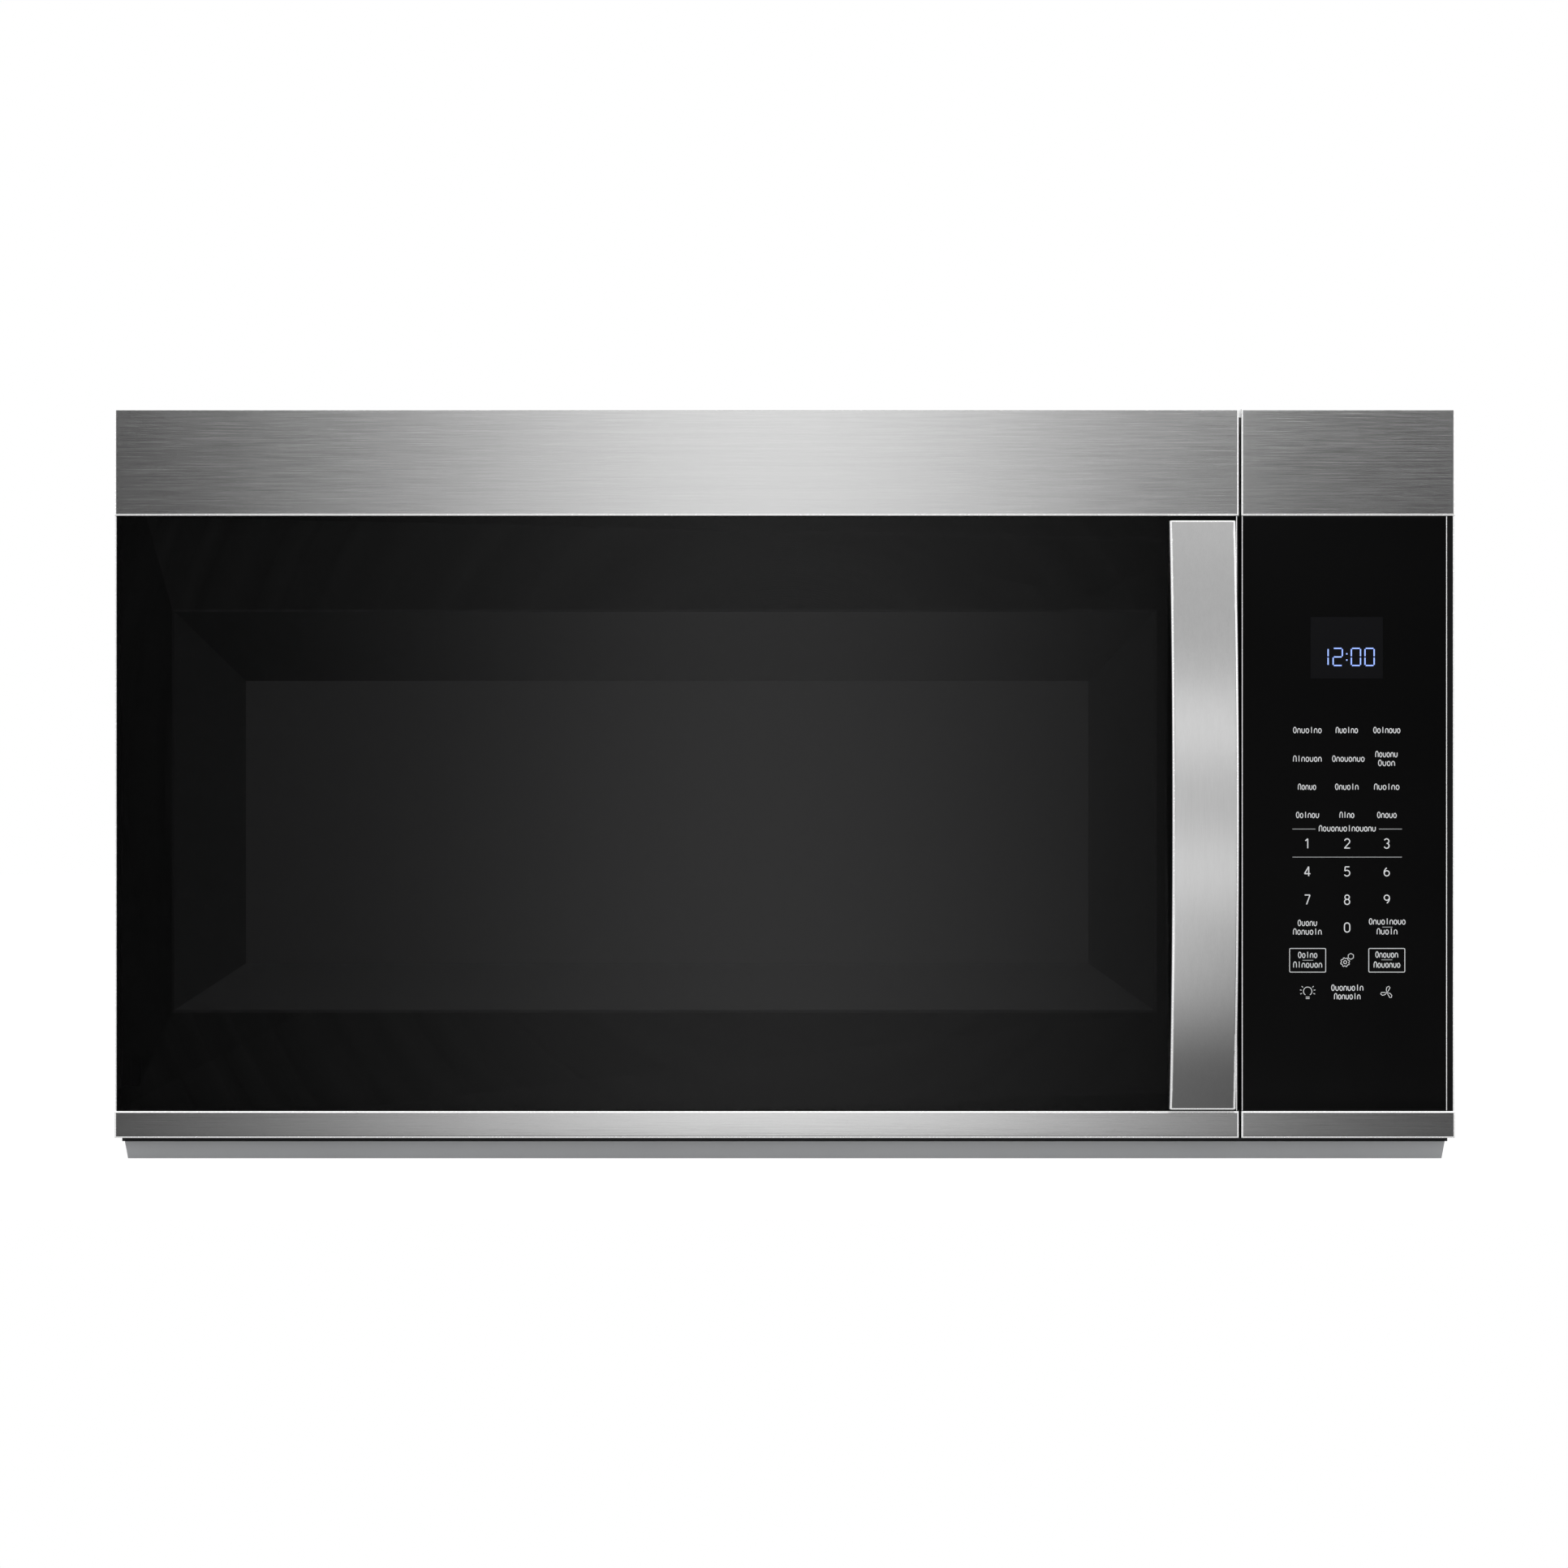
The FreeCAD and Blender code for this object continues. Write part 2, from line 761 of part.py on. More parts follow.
def make_front_frame():
    """The flange round the oven mouth, with slots for the hinge arms and the latch hooks."""
    frame = Piece("front_frame")
    inner_half = case_half
    frame.pad("XZ", [
        rectangle(-inner_half, base_top, inner_half, case_top),
        rectangle(oven_left, oven_floor, oven_right, oven_ceiling),
    ], oven_front, frame_face)
    slots = []
    for low in (hinge_low, hinge_high):
        slots.append(rectangle(
            hinge_x - hinge_arm_half - running_gap, low - running_gap,
            hinge_x + hinge_arm_half + running_gap, low + hinge_arm + running_gap,
        ))
    for low in (latch_low, latch_high):
        slots.append(
            window(latch_x, low + hook_height / 2, 4 * latch_thick, hook_height + 4 * latch_travel),
        )
    frame.pocket("XZ", slots, oven_front - frame_sheet, frame_face + frame_sheet)
    frame.done()


def make_oven():
    """The five walls of the cooking space, as plates that meet edge to edge."""
    wall = oven_sheet
    floor = Piece("oven_floor_plate")
    outline = rectangle(oven_left - wall, -oven_front, oven_right + wall, -oven_rear)
    hole = circle(turn_x, -turn_depth, shaft_radius + shaft_gap)
    floor.pad("XY", [outline, hole], oven_floor - wall, oven_floor)
    floor.done()
    ceiling = Piece("oven_ceiling_plate")
    light = window(oven_light_x, -oven_light_depth, oven_light_size, oven_light_size)
    ceiling.pad("XY", [outline, light], oven_ceiling, oven_ceiling + wall)
    ceiling.done()
    left = Piece("oven_left_wall")
    side = rectangle(-oven_front, oven_floor, -oven_rear, oven_ceiling)
    left.pad("YZ", [side], oven_left - wall, oven_left)
    left.done()
    right = Piece("oven_right_wall")
    right.pad("YZ", [side, guide_mouth()], oven_right, oven_right + wall)
    right.done()
    rear = Piece("oven_rear_wall")
    back = rectangle(oven_left - wall, oven_floor - wall, oven_right + wall, oven_ceiling + wall)
    rear.pad("XZ", [back], oven_rear - wall, oven_rear)
    rear.done()


def guide_mouth():
    margin = 2 * guide_wall
    return rectangle(
        -guide_far + margin, guide_low + margin, -guide_near - margin, guide_high - margin,
    )


# --- Microwave source and its cooling -------------------------------------------------------------

def make_waveguide():
    guide = Piece("waveguide")
    start = oven_right + oven_sheet
    outer = rectangle(-guide_far, guide_low, -guide_near, guide_high)
    inner = rectangle(
        -guide_far + guide_wall, guide_low + guide_wall, -guide_near - guide_wall, guide_high - guide_wall,
    )
    guide.pad("YZ", [outer], start, start + guide_reach)
    guide.pocket("YZ", [inner], start - guide_wall, start + guide_reach - guide_wall)
    hole = circle(antenna_x, -(guide_near + guide_far) / 2, antenna_radius + shaft_gap)
    guide.pocket("XY", [hole], guide_high - 2 * guide_wall, guide_high + guide_wall)
    guide.done()
    cover = Piece("waveguide_cover")
    cover.pad("YZ", [outer], oven_right - cover_sheet, oven_right)
    cover.done()


def make_magnetron():
    """The tube stands on the waveguide: an antenna below, an anode with cooling fins, and a filter
    box on top."""
    depth = (guide_near + guide_far) / 2
    centre = (antenna_x, depth)
    low = guide_high
    top = low + yoke + anode_height
    half = anode_radius + fin_reach
    near = depth - half * fin_share
    far = depth + half * fin_share
    parts = [
        rod("up", centre, antenna_radius, low - antenna_length, low + yoke),
        rod("up", centre, anode_radius, low + yoke / 2, top + yoke / 2),
        block(antenna_x - half, antenna_x + half, near, far, low, low + yoke),
        block(antenna_x - half, antenna_x + half, near, far, top, top + yoke),
        block(antenna_x - half, antenna_x - half + yoke, near, far, low, top + yoke),
        block(antenna_x + half - yoke, antenna_x + half, near, far, low, top + yoke),
        block(antenna_x - anode_radius, antenna_x + anode_radius, near, far, top, top + filter_box),
    ]
    for index in range(FINS):
        height = low + yoke + anode_height * (index + 1) / (FINS + 1)
        parts.append(block(antenna_x - half, antenna_x + half, near, far, height, height + fin_sheet))
    fuse(parts, "magnetron")


def make_high_voltage():
    """The transformer, a laminated core between two wound coils on feet, and the oval capacitor
    beside it."""
    low = base_top
    x, depth = transformer_x, transformer_depth
    core = block(
        x - core_width / 2, x + core_width / 2, depth - core_depth / 2, depth + core_depth / 2,
        low + foot_sheet, low + foot_sheet + core_height,
    )
    foot = block(
        x - core_width / 2 - foot_reach, x + core_width / 2 + foot_reach,
        depth - core_depth / 2, depth + core_depth / 2, low, low + foot_sheet,
    )
    middle = low + foot_sheet + core_height / 2
    coil = rod(
        "forward", (x, middle), core_height * coil_share, depth - coil_depth / 2,
        depth + coil_depth / 2,
    )
    fuse([core, foot, coil], "hv_transformer")
    can = Piece("hv_capacitor")
    half = capacitor_radius * capacitor_flat
    x, depth = capacitor_x, capacitor_depth
    oval = [
        (x - capacitor_radius, -depth - half), (x + capacitor_radius, -depth - half, -half),
        (x + capacitor_radius, -depth + half), (x - capacitor_radius, -depth + half, -half),
    ]
    can.pad("XY", [oval], base_top, base_top + capacitor_height)
    can.soften(
        fin_sheet, lambda middle, way: middle.z > number(base_top + fin_sheet) and abs(way.z) < 0.5,
    )
    terminals = [
        circle(x - half / 2, -depth, terminal_radius), circle(x + half / 2, -depth, terminal_radius),
    ]
    can.pad("XY", terminals, base_top + capacitor_height - terminal_radius,
            base_top + capacitor_height + 2 * terminal_radius)
    can.done()


def make_cooling_fan():
    """A shroud plate with a short duct, a motor on a bar across it, and a propeller on its shaft."""
    shroud = Piece("fan_shroud")
    half = fan_bore + shroud_border
    plate_far = fan_depth + fan_width
    plate_near = plate_far - shroud_sheet
    shroud.pad("XZ", [
        rectangle(fan_x - half, base_top, fan_x + half, fan_z + half), circle(fan_x, fan_z, fan_bore),
    ], plate_near, plate_far)
    ring = [circle(fan_x, fan_z, fan_bore + shroud_sheet), circle(fan_x, fan_z, fan_bore)]
    shroud.pad("XZ", ring, fan_depth - shroud_sheet, plate_near)
    shroud.done()
    bar_far = plate_far + bar_sheet
    bar = block(fan_x - half, fan_x + half, plate_far, bar_far, fan_z - bar_half, fan_z + bar_half)
    can = rod("forward", (fan_x, fan_z), fan_motor_radius, bar_far, bar_far + fan_motor_length)
    bore = rod(
        "forward", (fan_x, fan_z), fan_shaft + axle_clearance, plate_near, bar_far + fan_motor_length,
    )
    cut(fuse([bar, can]), [bore], "fan_motor")
    blade = Piece("fan_blade")
    hub = [circle(fan_x, fan_z, fan_hub)]
    blade.pad("XZ", hub, fan_depth, plate_far - shaft_gap)
    blade.pad(
        "XZ", [circle(fan_x, fan_z, fan_shaft)], plate_far - 2 * shaft_gap,
        bar_far + fan_motor_length / 2,
    )
    spread(blade, "XZ", fan_paddle(), fan_depth + shaft_gap, fan_depth + shaft_gap + paddle_sheet,
           FAN_BLADES, fan_x, fan_z, fan_depth)
    blade.done()


def fan_paddle():
    """One blade: a root inside the hub, and a tip that is wider and bowed."""
    reach = fan_radius
    return [
        (fan_hub / 2, -fan_hub / 3), (reach, -reach / 4), (reach, reach / 4, -reach / 40),
        (fan_hub / 2, fan_hub / 3),
    ]


def spread(piece, plane, outline, start, end, count, across, up, depth):
    """Pads one outline about a shifted origin and repeats it round the normal there."""
    sketch = piece.sketch(plane, [outline], start, across, up)
    feature = piece.body.newObject("PartDesign::Pad", piece.name("pad"))
    feature.Profile = sketch
    bind(feature, "Length", end - start)
    doc.recompute()
    pattern = piece.body.newObject("PartDesign::PolarPattern", piece.name("pattern"))
    pattern.Originals = [feature]
    pattern.Axis = (sketch, ["N_Axis"])
    pattern.Angle = 360
    pattern.Occurrences = count
    piece.body.Tip = pattern
    doc.recompute()


# --- Vent blower, exhaust and filters -------------------------------------------------------------

def make_blower():
    """A double blower: a motor in the middle, and on each side a scroll with a drum wheel that
    blows upwards."""
    near = wheel_near - scroll_space
    far = wheel_far + scroll_space
    scroll = Piece("blower_scroll")
    low = oven_ceiling + oven_sheet
    high = case_top - case_sheet
    half = wheel_radius + scroll_space + scroll_wall
    scroll.pad("YZ", [rectangle(-blower_depth - half, low, -blower_depth + half, high)], near, far)
    bore = circle(-blower_depth, blower_z, wheel_radius + scroll_space / 2)
    scroll.pocket("YZ", [bore], near + scroll_wall, far - scroll_wall)
    chute = rectangle(-blower_depth, blower_z, -duct_rear - 3 * scroll_space, high + scroll_wall)
    scroll.pocket("YZ", [chute], near + scroll_wall, far - scroll_wall)
    mouth = circle(-blower_depth, blower_z, wheel_radius - scroll_space)
    scroll.pocket("YZ", [mouth], far - 2 * scroll_wall, far + scroll_wall)
    hole = circle(-blower_depth, blower_z, blower_shaft + shaft_gap)
    scroll.pocket("YZ", [hole], near - scroll_wall, near + 2 * scroll_wall)
    group([scroll.body, mirrored(scroll.body)], "blower_housing")
    centre = (blower_depth, blower_z)
    motor = rod("right", centre, blower_motor_radius, -near, near)
    saddle = block(-near, near, blower_depth - half, blower_depth + half, low, low + scroll_wall)
    pedestal = block(-near / 2, near / 2, blower_depth - near / 2, blower_depth + near / 2, low, blower_z)
    bore = rod("right", centre, blower_shaft + axle_clearance, -far, far)
    cut(fuse([motor, saddle, pedestal]), [bore], "blower_motor")
    wheel = Piece("blower_wheel")
    wheel.pad("YZ", [circle(-blower_depth, blower_z, wheel_radius)], wheel_near, wheel_near + scroll_wall)
    rim = [
        circle(-blower_depth, blower_z, wheel_radius),
        circle(-blower_depth, blower_z, wheel_radius - 2 * vane_reach / 3),
    ]
    rim_start = wheel_far - scroll_wall
    wheel.pad(
        "YZ", [circle(-blower_depth, blower_z, 2 * blower_shaft)], wheel_near,
        wheel_near + 4 * scroll_wall,
    )
    vane = rectangle(
        wheel_radius - vane_reach, -vane_sheet / 2, wheel_radius - vane_sheet, vane_sheet / 2,
    )
    spread(wheel, "YZ", vane, wheel_near + scroll_wall / 2, wheel_far - scroll_wall / 2,
           WHEEL_VANES, -blower_depth, blower_z, wheel_near)
    wheel.pad("YZ", rim, rim_start, wheel_far)
    shaft = rod("right", centre, blower_shaft, -wheel_near - scroll_wall, wheel_near + scroll_wall)
    fuse([wheel.body, mirrored(wheel.body), shaft], "blower_rotor")


def mirrored(source):
    """The same shape on the other side of mid width."""
    made = primitive("Mirroring", "mirrored")
    made.Source = source
    made.Normal = Vector(1, 0, 0)
    return made


def make_exhaust():
    """The rectangular duct collar on the top, and its back-draught flap on a pin."""
    half = duct_width / 2
    collar = Piece("exhaust_adapter")
    outer = rectangle(-half, -duct_front, half, -duct_rear)
    sheet_in = duct_sheet
    inner = rectangle(-half + sheet_in, -duct_front + sheet_in, half - sheet_in, -duct_rear - sheet_in)
    wide = rectangle(
        -half - duct_flange, -duct_front - duct_flange, half + duct_flange, -duct_rear + duct_flange,
    )
    collar.pad("XY", [wide, inner], case_top, case_top + duct_sheet)
    collar.pad("XY", [outer, inner], case_top + duct_sheet, case_top + duct_height)
    pin = circle(-flap_pin_depth, flap_height, flap_pin_radius + axle_clearance)
    collar.pocket("YZ", [pin], -half - duct_sheet, half + duct_sheet)
    collar.done()
    inside = half - duct_sheet - flap_gap
    plate = block(
        -inside, inside, flap_pin_depth, duct_front - duct_sheet - flap_gap,
        flap_height - flap_thick / 2, flap_height + flap_thick / 2,
    )
    pin_rod = rod("right", (flap_pin_depth, flap_height), flap_pin_radius, -half, half)
    fuse([plate, pin_rod], "damper_flap")


def make_top_grille():
    """The louvred inlet in the top, with the charcoal filter clipped under it."""
    grille = Piece("top_grille")
    width = grille_width - 2 * running_gap
    length = grille_length - 2 * running_gap
    grille.pad("XY", [window(0, -grille_depth, width, length)], case_top - grille_thick, case_top)
    grille.pad("XY", [window(0, -grille_depth, grille_width + 2 * grille_flange,
                             grille_length + 2 * grille_flange)], case_top, case_top + case_sheet)
    step = width / LOUVRE_COLUMNS
    first = step * (1 - LOUVRE_COLUMNS) / 2
    rows = [
        window(first, -grille_depth + (row - (LOUVRE_ROWS - 1) / 2) * length / LOUVRE_ROWS,
               step - louvre_bar, length / LOUVRE_ROWS - louvre_rib)
        for row in range(LOUVRE_ROWS)
    ]
    grille.pocket("XY", rows, case_top - 2 * grille_thick, case_top + grille_thick)
    slots = grille.body.Tip
    pattern = grille.body.newObject("PartDesign::LinearPattern", grille.name("pattern"))
    pattern.Originals = [slots]
    pattern.Direction = (slots.Profile[0], ["H_Axis"])
    bind(pattern, "Length", step * (LOUVRE_COLUMNS - 1))
    pattern.Occurrences = LOUVRE_COLUMNS
    grille.body.Tip = pattern
    grille.done()
    charcoal = Piece("charcoal_filter")
    top = case_top - grille_thick
    charcoal.pad("XY", [window(0, -grille_depth, width, length)], top - charcoal_height, top)
    charcoal.done()


def make_bottom_fittings():
    """Two grease filters on the pan's ledges, and the lenses and lamps that light the cooktop."""
    for side, label in ((-1, "grease_filter_left"), (1, "grease_filter_right")):
        panel = Piece(label)
        low = pan_sheet + running_gap
        outline = window(side * filter_x, -filter_depth, filter_width, filter_length)
        panel.pad("XY", [outline], low, low + filter_thick)
        field = window(
            side * filter_x, -filter_depth, filter_width - 3 * filter_ledge, filter_length - 3 * filter_ledge,
        )
        panel.pocket("XY", [field], low - running_gap, low + filter_thick / 4)
        panel.pocket("XY", [field], low + filter_thick * 3 / 4, low + filter_thick + running_gap)
        panel.done()
    lenses = []
    lamps = []
    margin = lens_thick
    for side in (-1, 1):
        x = side * lens_x
        half = lens_width / 2 + margin
        near = lens_depth - lens_length / 2 - margin
        far = lens_depth + lens_length / 2 + margin
        lenses.append(block(x - half, x + half, near, far, pan_sheet, pan_sheet + lens_thick))
        board = block(x - half, x + half, near, far, base_top, base_top + board_thick)
        lamp = rod("up", (x, lens_depth), lamp_radius, base_top - lens_thick, base_top + board_thick)
        lamps.append(fuse([board, lamp]))
    group(lenses, "cooktop_lamp_lenses")
    group(lamps, "cooktop_lamps")
    top = oven_ceiling + oven_sheet
    half = oven_light_size / 2 + margin
    socket = block(
        oven_light_x - half, oven_light_x + half, oven_light_depth - half, oven_light_depth + half,
        top, top + lens_thick,
    )
    bulb = rod("up", (oven_light_x, oven_light_depth), lamp_radius, oven_ceiling, top + oven_light_size)
    fuse([socket, bulb], "oven_lamp")


# --- Turntable ------------------------------------------------------------------------------------

tray_under = oven_floor + running_gap + 2 * roller_radius + running_gap
lug_low = tray_under - lug_height


def make_turntable():
    """The motor under the floor, its coupler, the roller ring and the glass tray."""
    centre = (turn_x, turn_depth)
    top = oven_floor - oven_sheet
    can = rod("up", centre, motor_radius, top - motor_height, top)
    stem = rod("up", centre, shaft_radius, top - motor_height * 2 / 3, oven_floor + shaft_gap)
    bore = rod(
        "up", centre, shaft_radius + axle_clearance, top - motor_height * 2 / 3 - shaft_gap,
        oven_floor,
    )
    cut(can, [bore], "turntable_motor")
    disc = rod("up", centre, coupler_radius, oven_floor + shaft_gap, lug_low - running_gap)
    arms = [stem, disc]
    for index in range(TRAY_LUGS):
        arm = block(
            turn_x - coupler_radius, turn_x - lug_inner / 2, turn_depth - lug_width / 2,
            turn_depth + lug_width / 2, oven_floor + shaft_gap, tray_under - running_gap,
        )
        arms.append(turned_about(arm, index, TRAY_LUGS, 0))
    arms.append(rod("up", centre, coupler_hub, oven_floor + shaft_gap, tray_under - running_gap))
    fuse(arms, "turntable_coupler")
    tray = Piece("glass_tray")
    low = tray_under
    inner = tray_radius - tray_rim
    profile = [
        (0 * tray_radius, low), (inner, low), (tray_radius, low + tray_rim, -tray_rim_bow),
        (tray_radius - tray_thick / 2, low + tray_rim + tray_thick / 2),
        (inner - tray_thick / 2, low + tray_thick), (0 * tray_radius, low + tray_thick),
    ]
    tray.turn("XZ", profile, "V_Axis", turn_x, 0 * tray_radius, turn_depth)
    lugs = [tray.body]
    for index in range(TRAY_LUGS):
        lug = block(
            turn_x - coupler_radius, turn_x - lug_inner, turn_depth - lug_width / 2,
            turn_depth + lug_width / 2, lug_low, tray_under + tray_thick / 2,
        )
        lugs.append(turned_about(lug, index, TRAY_LUGS, LUG_START))
    fuse(lugs, "glass_tray")
    make_roller_ring()


def turned_about(part, index, count, offset):
    """Turns a block about the turntable's axis, by its share of a full turn."""
    angle = offset + 360 * index / count
    holder = primitive("Compound", "turned")
    holder.Links = [part]
    turn = FreeCAD.Rotation(Vector(0, 0, 1), angle)
    cos, sin = turn.multVec(Vector(1, 0, 0)).x, turn.multVec(Vector(1, 0, 0)).y
    holder.Placement = FreeCAD.Placement(Vector(), turn)
    bind(holder, ".Placement.Base.x", turn_x - (turn_x * cos + turn_depth * sin))
    bind(holder, ".Placement.Base.y", 0 - turn_depth - (turn_x * sin - turn_depth * cos))
    return holder


def make_roller_ring():
    """A flat ring with a radial axle for each roller."""
    centre = (turn_x, turn_depth)
    middle = oven_floor + running_gap + roller_radius
    outer = roller_circle - roller_width / 2 - running_gap
    hoop = cut(
        rod("up", centre, outer, middle - ring_thick / 2, middle + ring_thick / 2),
        [rod("up", centre, outer - ring_width, middle - ring_thick, middle + ring_thick)],
    )
    parts = [hoop]
    for index in range(ROLLERS):
        reach = turn_x + roller_circle + roller_width / 2 + axle_reach
        axle = rod("right", (turn_depth, middle), axle_radius, turn_x + outer - ring_width / 2, reach)
        parts.append(turned_about(axle, index, ROLLERS, ROLLER_START))
        start = turn_x + roller_circle - roller_width / 2
        wheel = cut(
            rod("right", (turn_depth, middle), roller_radius, start, start + roller_width),
            [rod("right", (turn_depth, middle), axle_radius + axle_clearance,
                 start - roller_width, start + 2 * roller_width)],
        )
        roller = turned_about(wheel, index, ROLLERS, ROLLER_START)
        keep(roller, f"tray_roller_{index + 1}")
    fuse(parts, "roller_ring")


# --- Door -----------------------------------------------------------------------------------------

frame_left = door_left + band_sheet
frame_right = door_right - band_sheet
frame_low = door_bottom + band_sheet
frame_high = front_top - band_sheet
shell_inside = glass_back - shell_wall
view = (view_left, view_bottom, view_right, view_top)
screen_box = (screen_left, screen_bottom, screen_right, screen_top)
bar_rear = shell_inside - bar_return
hook_depth = frame_face - latch_reach


def grown(box, reach):
    return rectangle(box[0] - reach, box[1] - reach, box[2] + reach, box[3] + reach)


def hinge_notches():
    """Where each hinge arm swings out through the door's left side."""
    return [
        rectangle(-hinge_depth - hinge_arm_half - notch_margin, low - shaft_gap,
                  -door_rear + band_sheet, low + hinge_arm + shaft_gap)
        for low in (hinge_low, hinge_high)
    ]


def make_door_frame():
    frame = Piece("door_frame")
    box = (frame_left, frame_low, frame_right, frame_high)
    frame.pad("XZ", [grown(box, 0 * shell_wall), grown(view, bezel_wall)], door_rear, glass_back)
    frame.pocket("XZ", [grown(box, -shell_wall)], door_rear - shell_wall, shell_inside)
    boss_near = hinge_depth - hinge_pin_radius * 3
    boss_right = hinge_x + hinge_pin_radius * 3
    low_boss = hinge_low + hinge_arm + hinge_space
    high_boss = hinge_high - hinge_space
    for low, high in ((low_boss, low_boss + hinge_boss), (high_boss - hinge_boss, high_boss)):
        outline = rectangle(
            frame_left + shell_wall / 2, -shell_inside - shell_wall / 2, boss_right, -boss_near,
        )
        frame.pad("XY", [outline], low, high)
        bore = circle(hinge_x, -hinge_depth, hinge_pin_radius + hinge_clearance)
        frame.pocket("XY", [bore], low - shaft_gap, high + shaft_gap)
    frame.pocket("YZ", hinge_notches(), frame_left - shell_wall, hinge_x - hinge_pin_radius)
    rail_left = latch_x - latch_thick / 2 - running_gap - rail_thick
    rail = rectangle(rail_left, latch_low, rail_left + rail_thick, latch_high)
    rail_near = shell_inside - rail_depth
    spring_top = latch_high + hook_height + spring_length + running_gap
    reach = spring_radius + 3 * spring_wire
    shelf = [
        (latch_x - reach - rail_thick, latch_high - rail_thick), (latch_x - reach, latch_high - rail_thick),
        (latch_x - reach, spring_top), (latch_x + reach, spring_top),
        (latch_x + reach, spring_top + rail_thick), (latch_x - reach - rail_thick, spring_top + rail_thick),
    ]
    for outline in (rail, shelf):
        frame.pad("XZ", [outline], rail_near, shell_inside + shell_wall / 2)
    corners = []
    for x in (choke_left, choke_right - 2 * post_half):
        for z in (choke_bottom, choke_top - 2 * post_half):
            corners.append(rectangle(x, z, x + 2 * post_half, z + 2 * post_half))
    for corner in corners:
        frame.pad("XZ", [corner], choke_front, shell_inside + shell_wall / 2)
    frame.pocket("XZ", [circle(handle_middle, z, handle_screw_radius) for z in screw_heights()],
                 shell_inside - shell_wall, glass_back + shell_wall)
    frame.done()


handle_middle = handle_left + handle_width / 2


def screw_heights():
    return (handle_bottom + handle_foot / 2, handle_top - handle_foot / 2)


def make_door_front():
    """The dark glass, the steel band above it and the steel bar below it."""
    glass = Piece("door_glass")
    sheet_box = rectangle(
        door_left + glass_inset, bar_top + running_gap, door_right - glass_inset, band_bottom - running_gap,
    )
    glass.pad("XZ", [sheet_box], glass_back, glass_front)
    glass.pocket("XZ", [circle(handle_middle, z, handle_screw_radius) for z in screw_heights()],
                 glass_back - glass_thick, glass_front + glass_thick)
    round_front(glass, glass_front, glass_round)
    glass.done()
    make_band("door_top_band", door_left, door_right, band_bottom, front_top, True)
    make_band("door_bottom_bar", door_left, door_right, door_bottom, bar_top, False)


def round_front(piece, depth, radius):
    """Rounds the edges of the face at one depth, but not those of its holes."""
    piece.soften(radius, lambda middle, way: lies(middle.y, 0 - depth) and abs(way.y) < 0.5)


def make_band(label, left, right, low, high, upper):
    """A folded steel cover. It returns over the frame's top, bottom and sides, and stops short
    behind the glass."""
    band = Piece(label)
    band.pad("XZ", [rectangle(left, low, right, high)], bar_rear, door_front)
    round_front(band, door_front, band_round)
    inner_left = left + band_sheet
    inner_right = right - band_sheet
    beyond = band_sheet * 2
    open_low = low - beyond if upper else low + band_sheet
    open_high = high - band_sheet if upper else high + beyond
    band.pocket(
        "XZ", [rectangle(inner_left, open_low, inner_right, open_high)], bar_rear - beyond, glass_back,
    )
    shut = rectangle(inner_left, low + band_sheet, inner_right, high - band_sheet)
    band.pocket("XZ", [shut], glass_back - beyond, door_front - band_sheet)
    if label == "door_top_band":
        band.pocket("YZ", [hinge_notches()[1]], left - band_sheet, left + beyond)
    band.done()


def make_window():
    """Behind the glass: a bezel that slopes inwards to the screen, and the perforated screen itself."""
    bezel = Piece("window_bezel")
    flange = grown(view, bezel_flange)
    bezel.loft([(grown(screen_box, bezel_wall), screen_depth), (grown(view, bezel_wall), glass_back)])
    bezel.pad("XZ", [flange], shell_inside - bezel_wall, shell_inside)
    slope = [(grown(screen_box, 0 * bezel_wall), screen_depth), (grown(view, 0 * bezel_wall), glass_back)]
    bezel.loft(slope, "SubtractiveLoft")
    bezel.done()
    screen = Piece("door_screen")
    screen.pad("XZ", [grown(screen_box, bezel_wall * 4)], screen_depth - screen_sheet, screen_depth)
    screen.done()


def make_choke():
    """The folded channel that seals the oven mouth, and the plastic cover over its slots."""
    frame = Piece("choke_frame")
    outer = (choke_left, choke_bottom, choke_right, choke_top)
    frame.pad(
        "XZ", [grown(outer, 0 * choke_sheet), grown(screen_box, 0 * choke_sheet)], choke_plate,
        choke_front,
    )
    channel = [grown(outer, -choke_sheet), grown(screen_box, choke_sheet)]
    frame.pocket("XZ", channel, choke_plate + choke_sheet, choke_front + choke_sheet)
    frame.done()
    cover = Piece("choke_cover")
    cover.pad(
        "XZ", [grown(outer, 0 * choke_sheet), grown(screen_box, -4 * choke_sheet)], choke_rear,
        choke_plate,
    )
    cover.done()


def make_handle():
    """A wide strap bowed forwards, thicker at its two feet, with bores for its screws."""
    handle = Piece("handle")
    front = glass_front + handle_end
    grip_rise = handle_bow + handle_end - handle_grip
    side = [
        (-glass_front, handle_bottom), (-glass_front, handle_bottom + handle_foot),
        (-glass_front, handle_top - handle_foot, grip_rise), (-glass_front, handle_top),
        (-front, handle_top), (-front, handle_bottom, -handle_bow),
    ]
    handle.pad("YZ", [side], handle_left, handle_left + handle_width)
    holes = [circle(handle_middle, z, handle_screw_radius) for z in screw_heights()]
    handle.pocket("XZ", holes, glass_front - handle_end, glass_front + handle_end)
    sides = (number(handle_left), number(handle_left + handle_width))
    handle.soften(handle_round, lambda middle, way: (
        any(lies(middle.x, x) for x in sides) and middle.y < -number(front) - 1e-3
    ))
    handle.done()
    screws = []
    for z in screw_heights():
        at = (handle_middle, z)
        shank = rod("forward", at, handle_screw_radius, shell_inside, glass_front + handle_end)
        head = rod("forward", at, 2 * handle_screw_radius, shell_inside - head_height, shell_inside)
        screws.append(fuse([shank, head]))
    group(screws, "handle_screws")


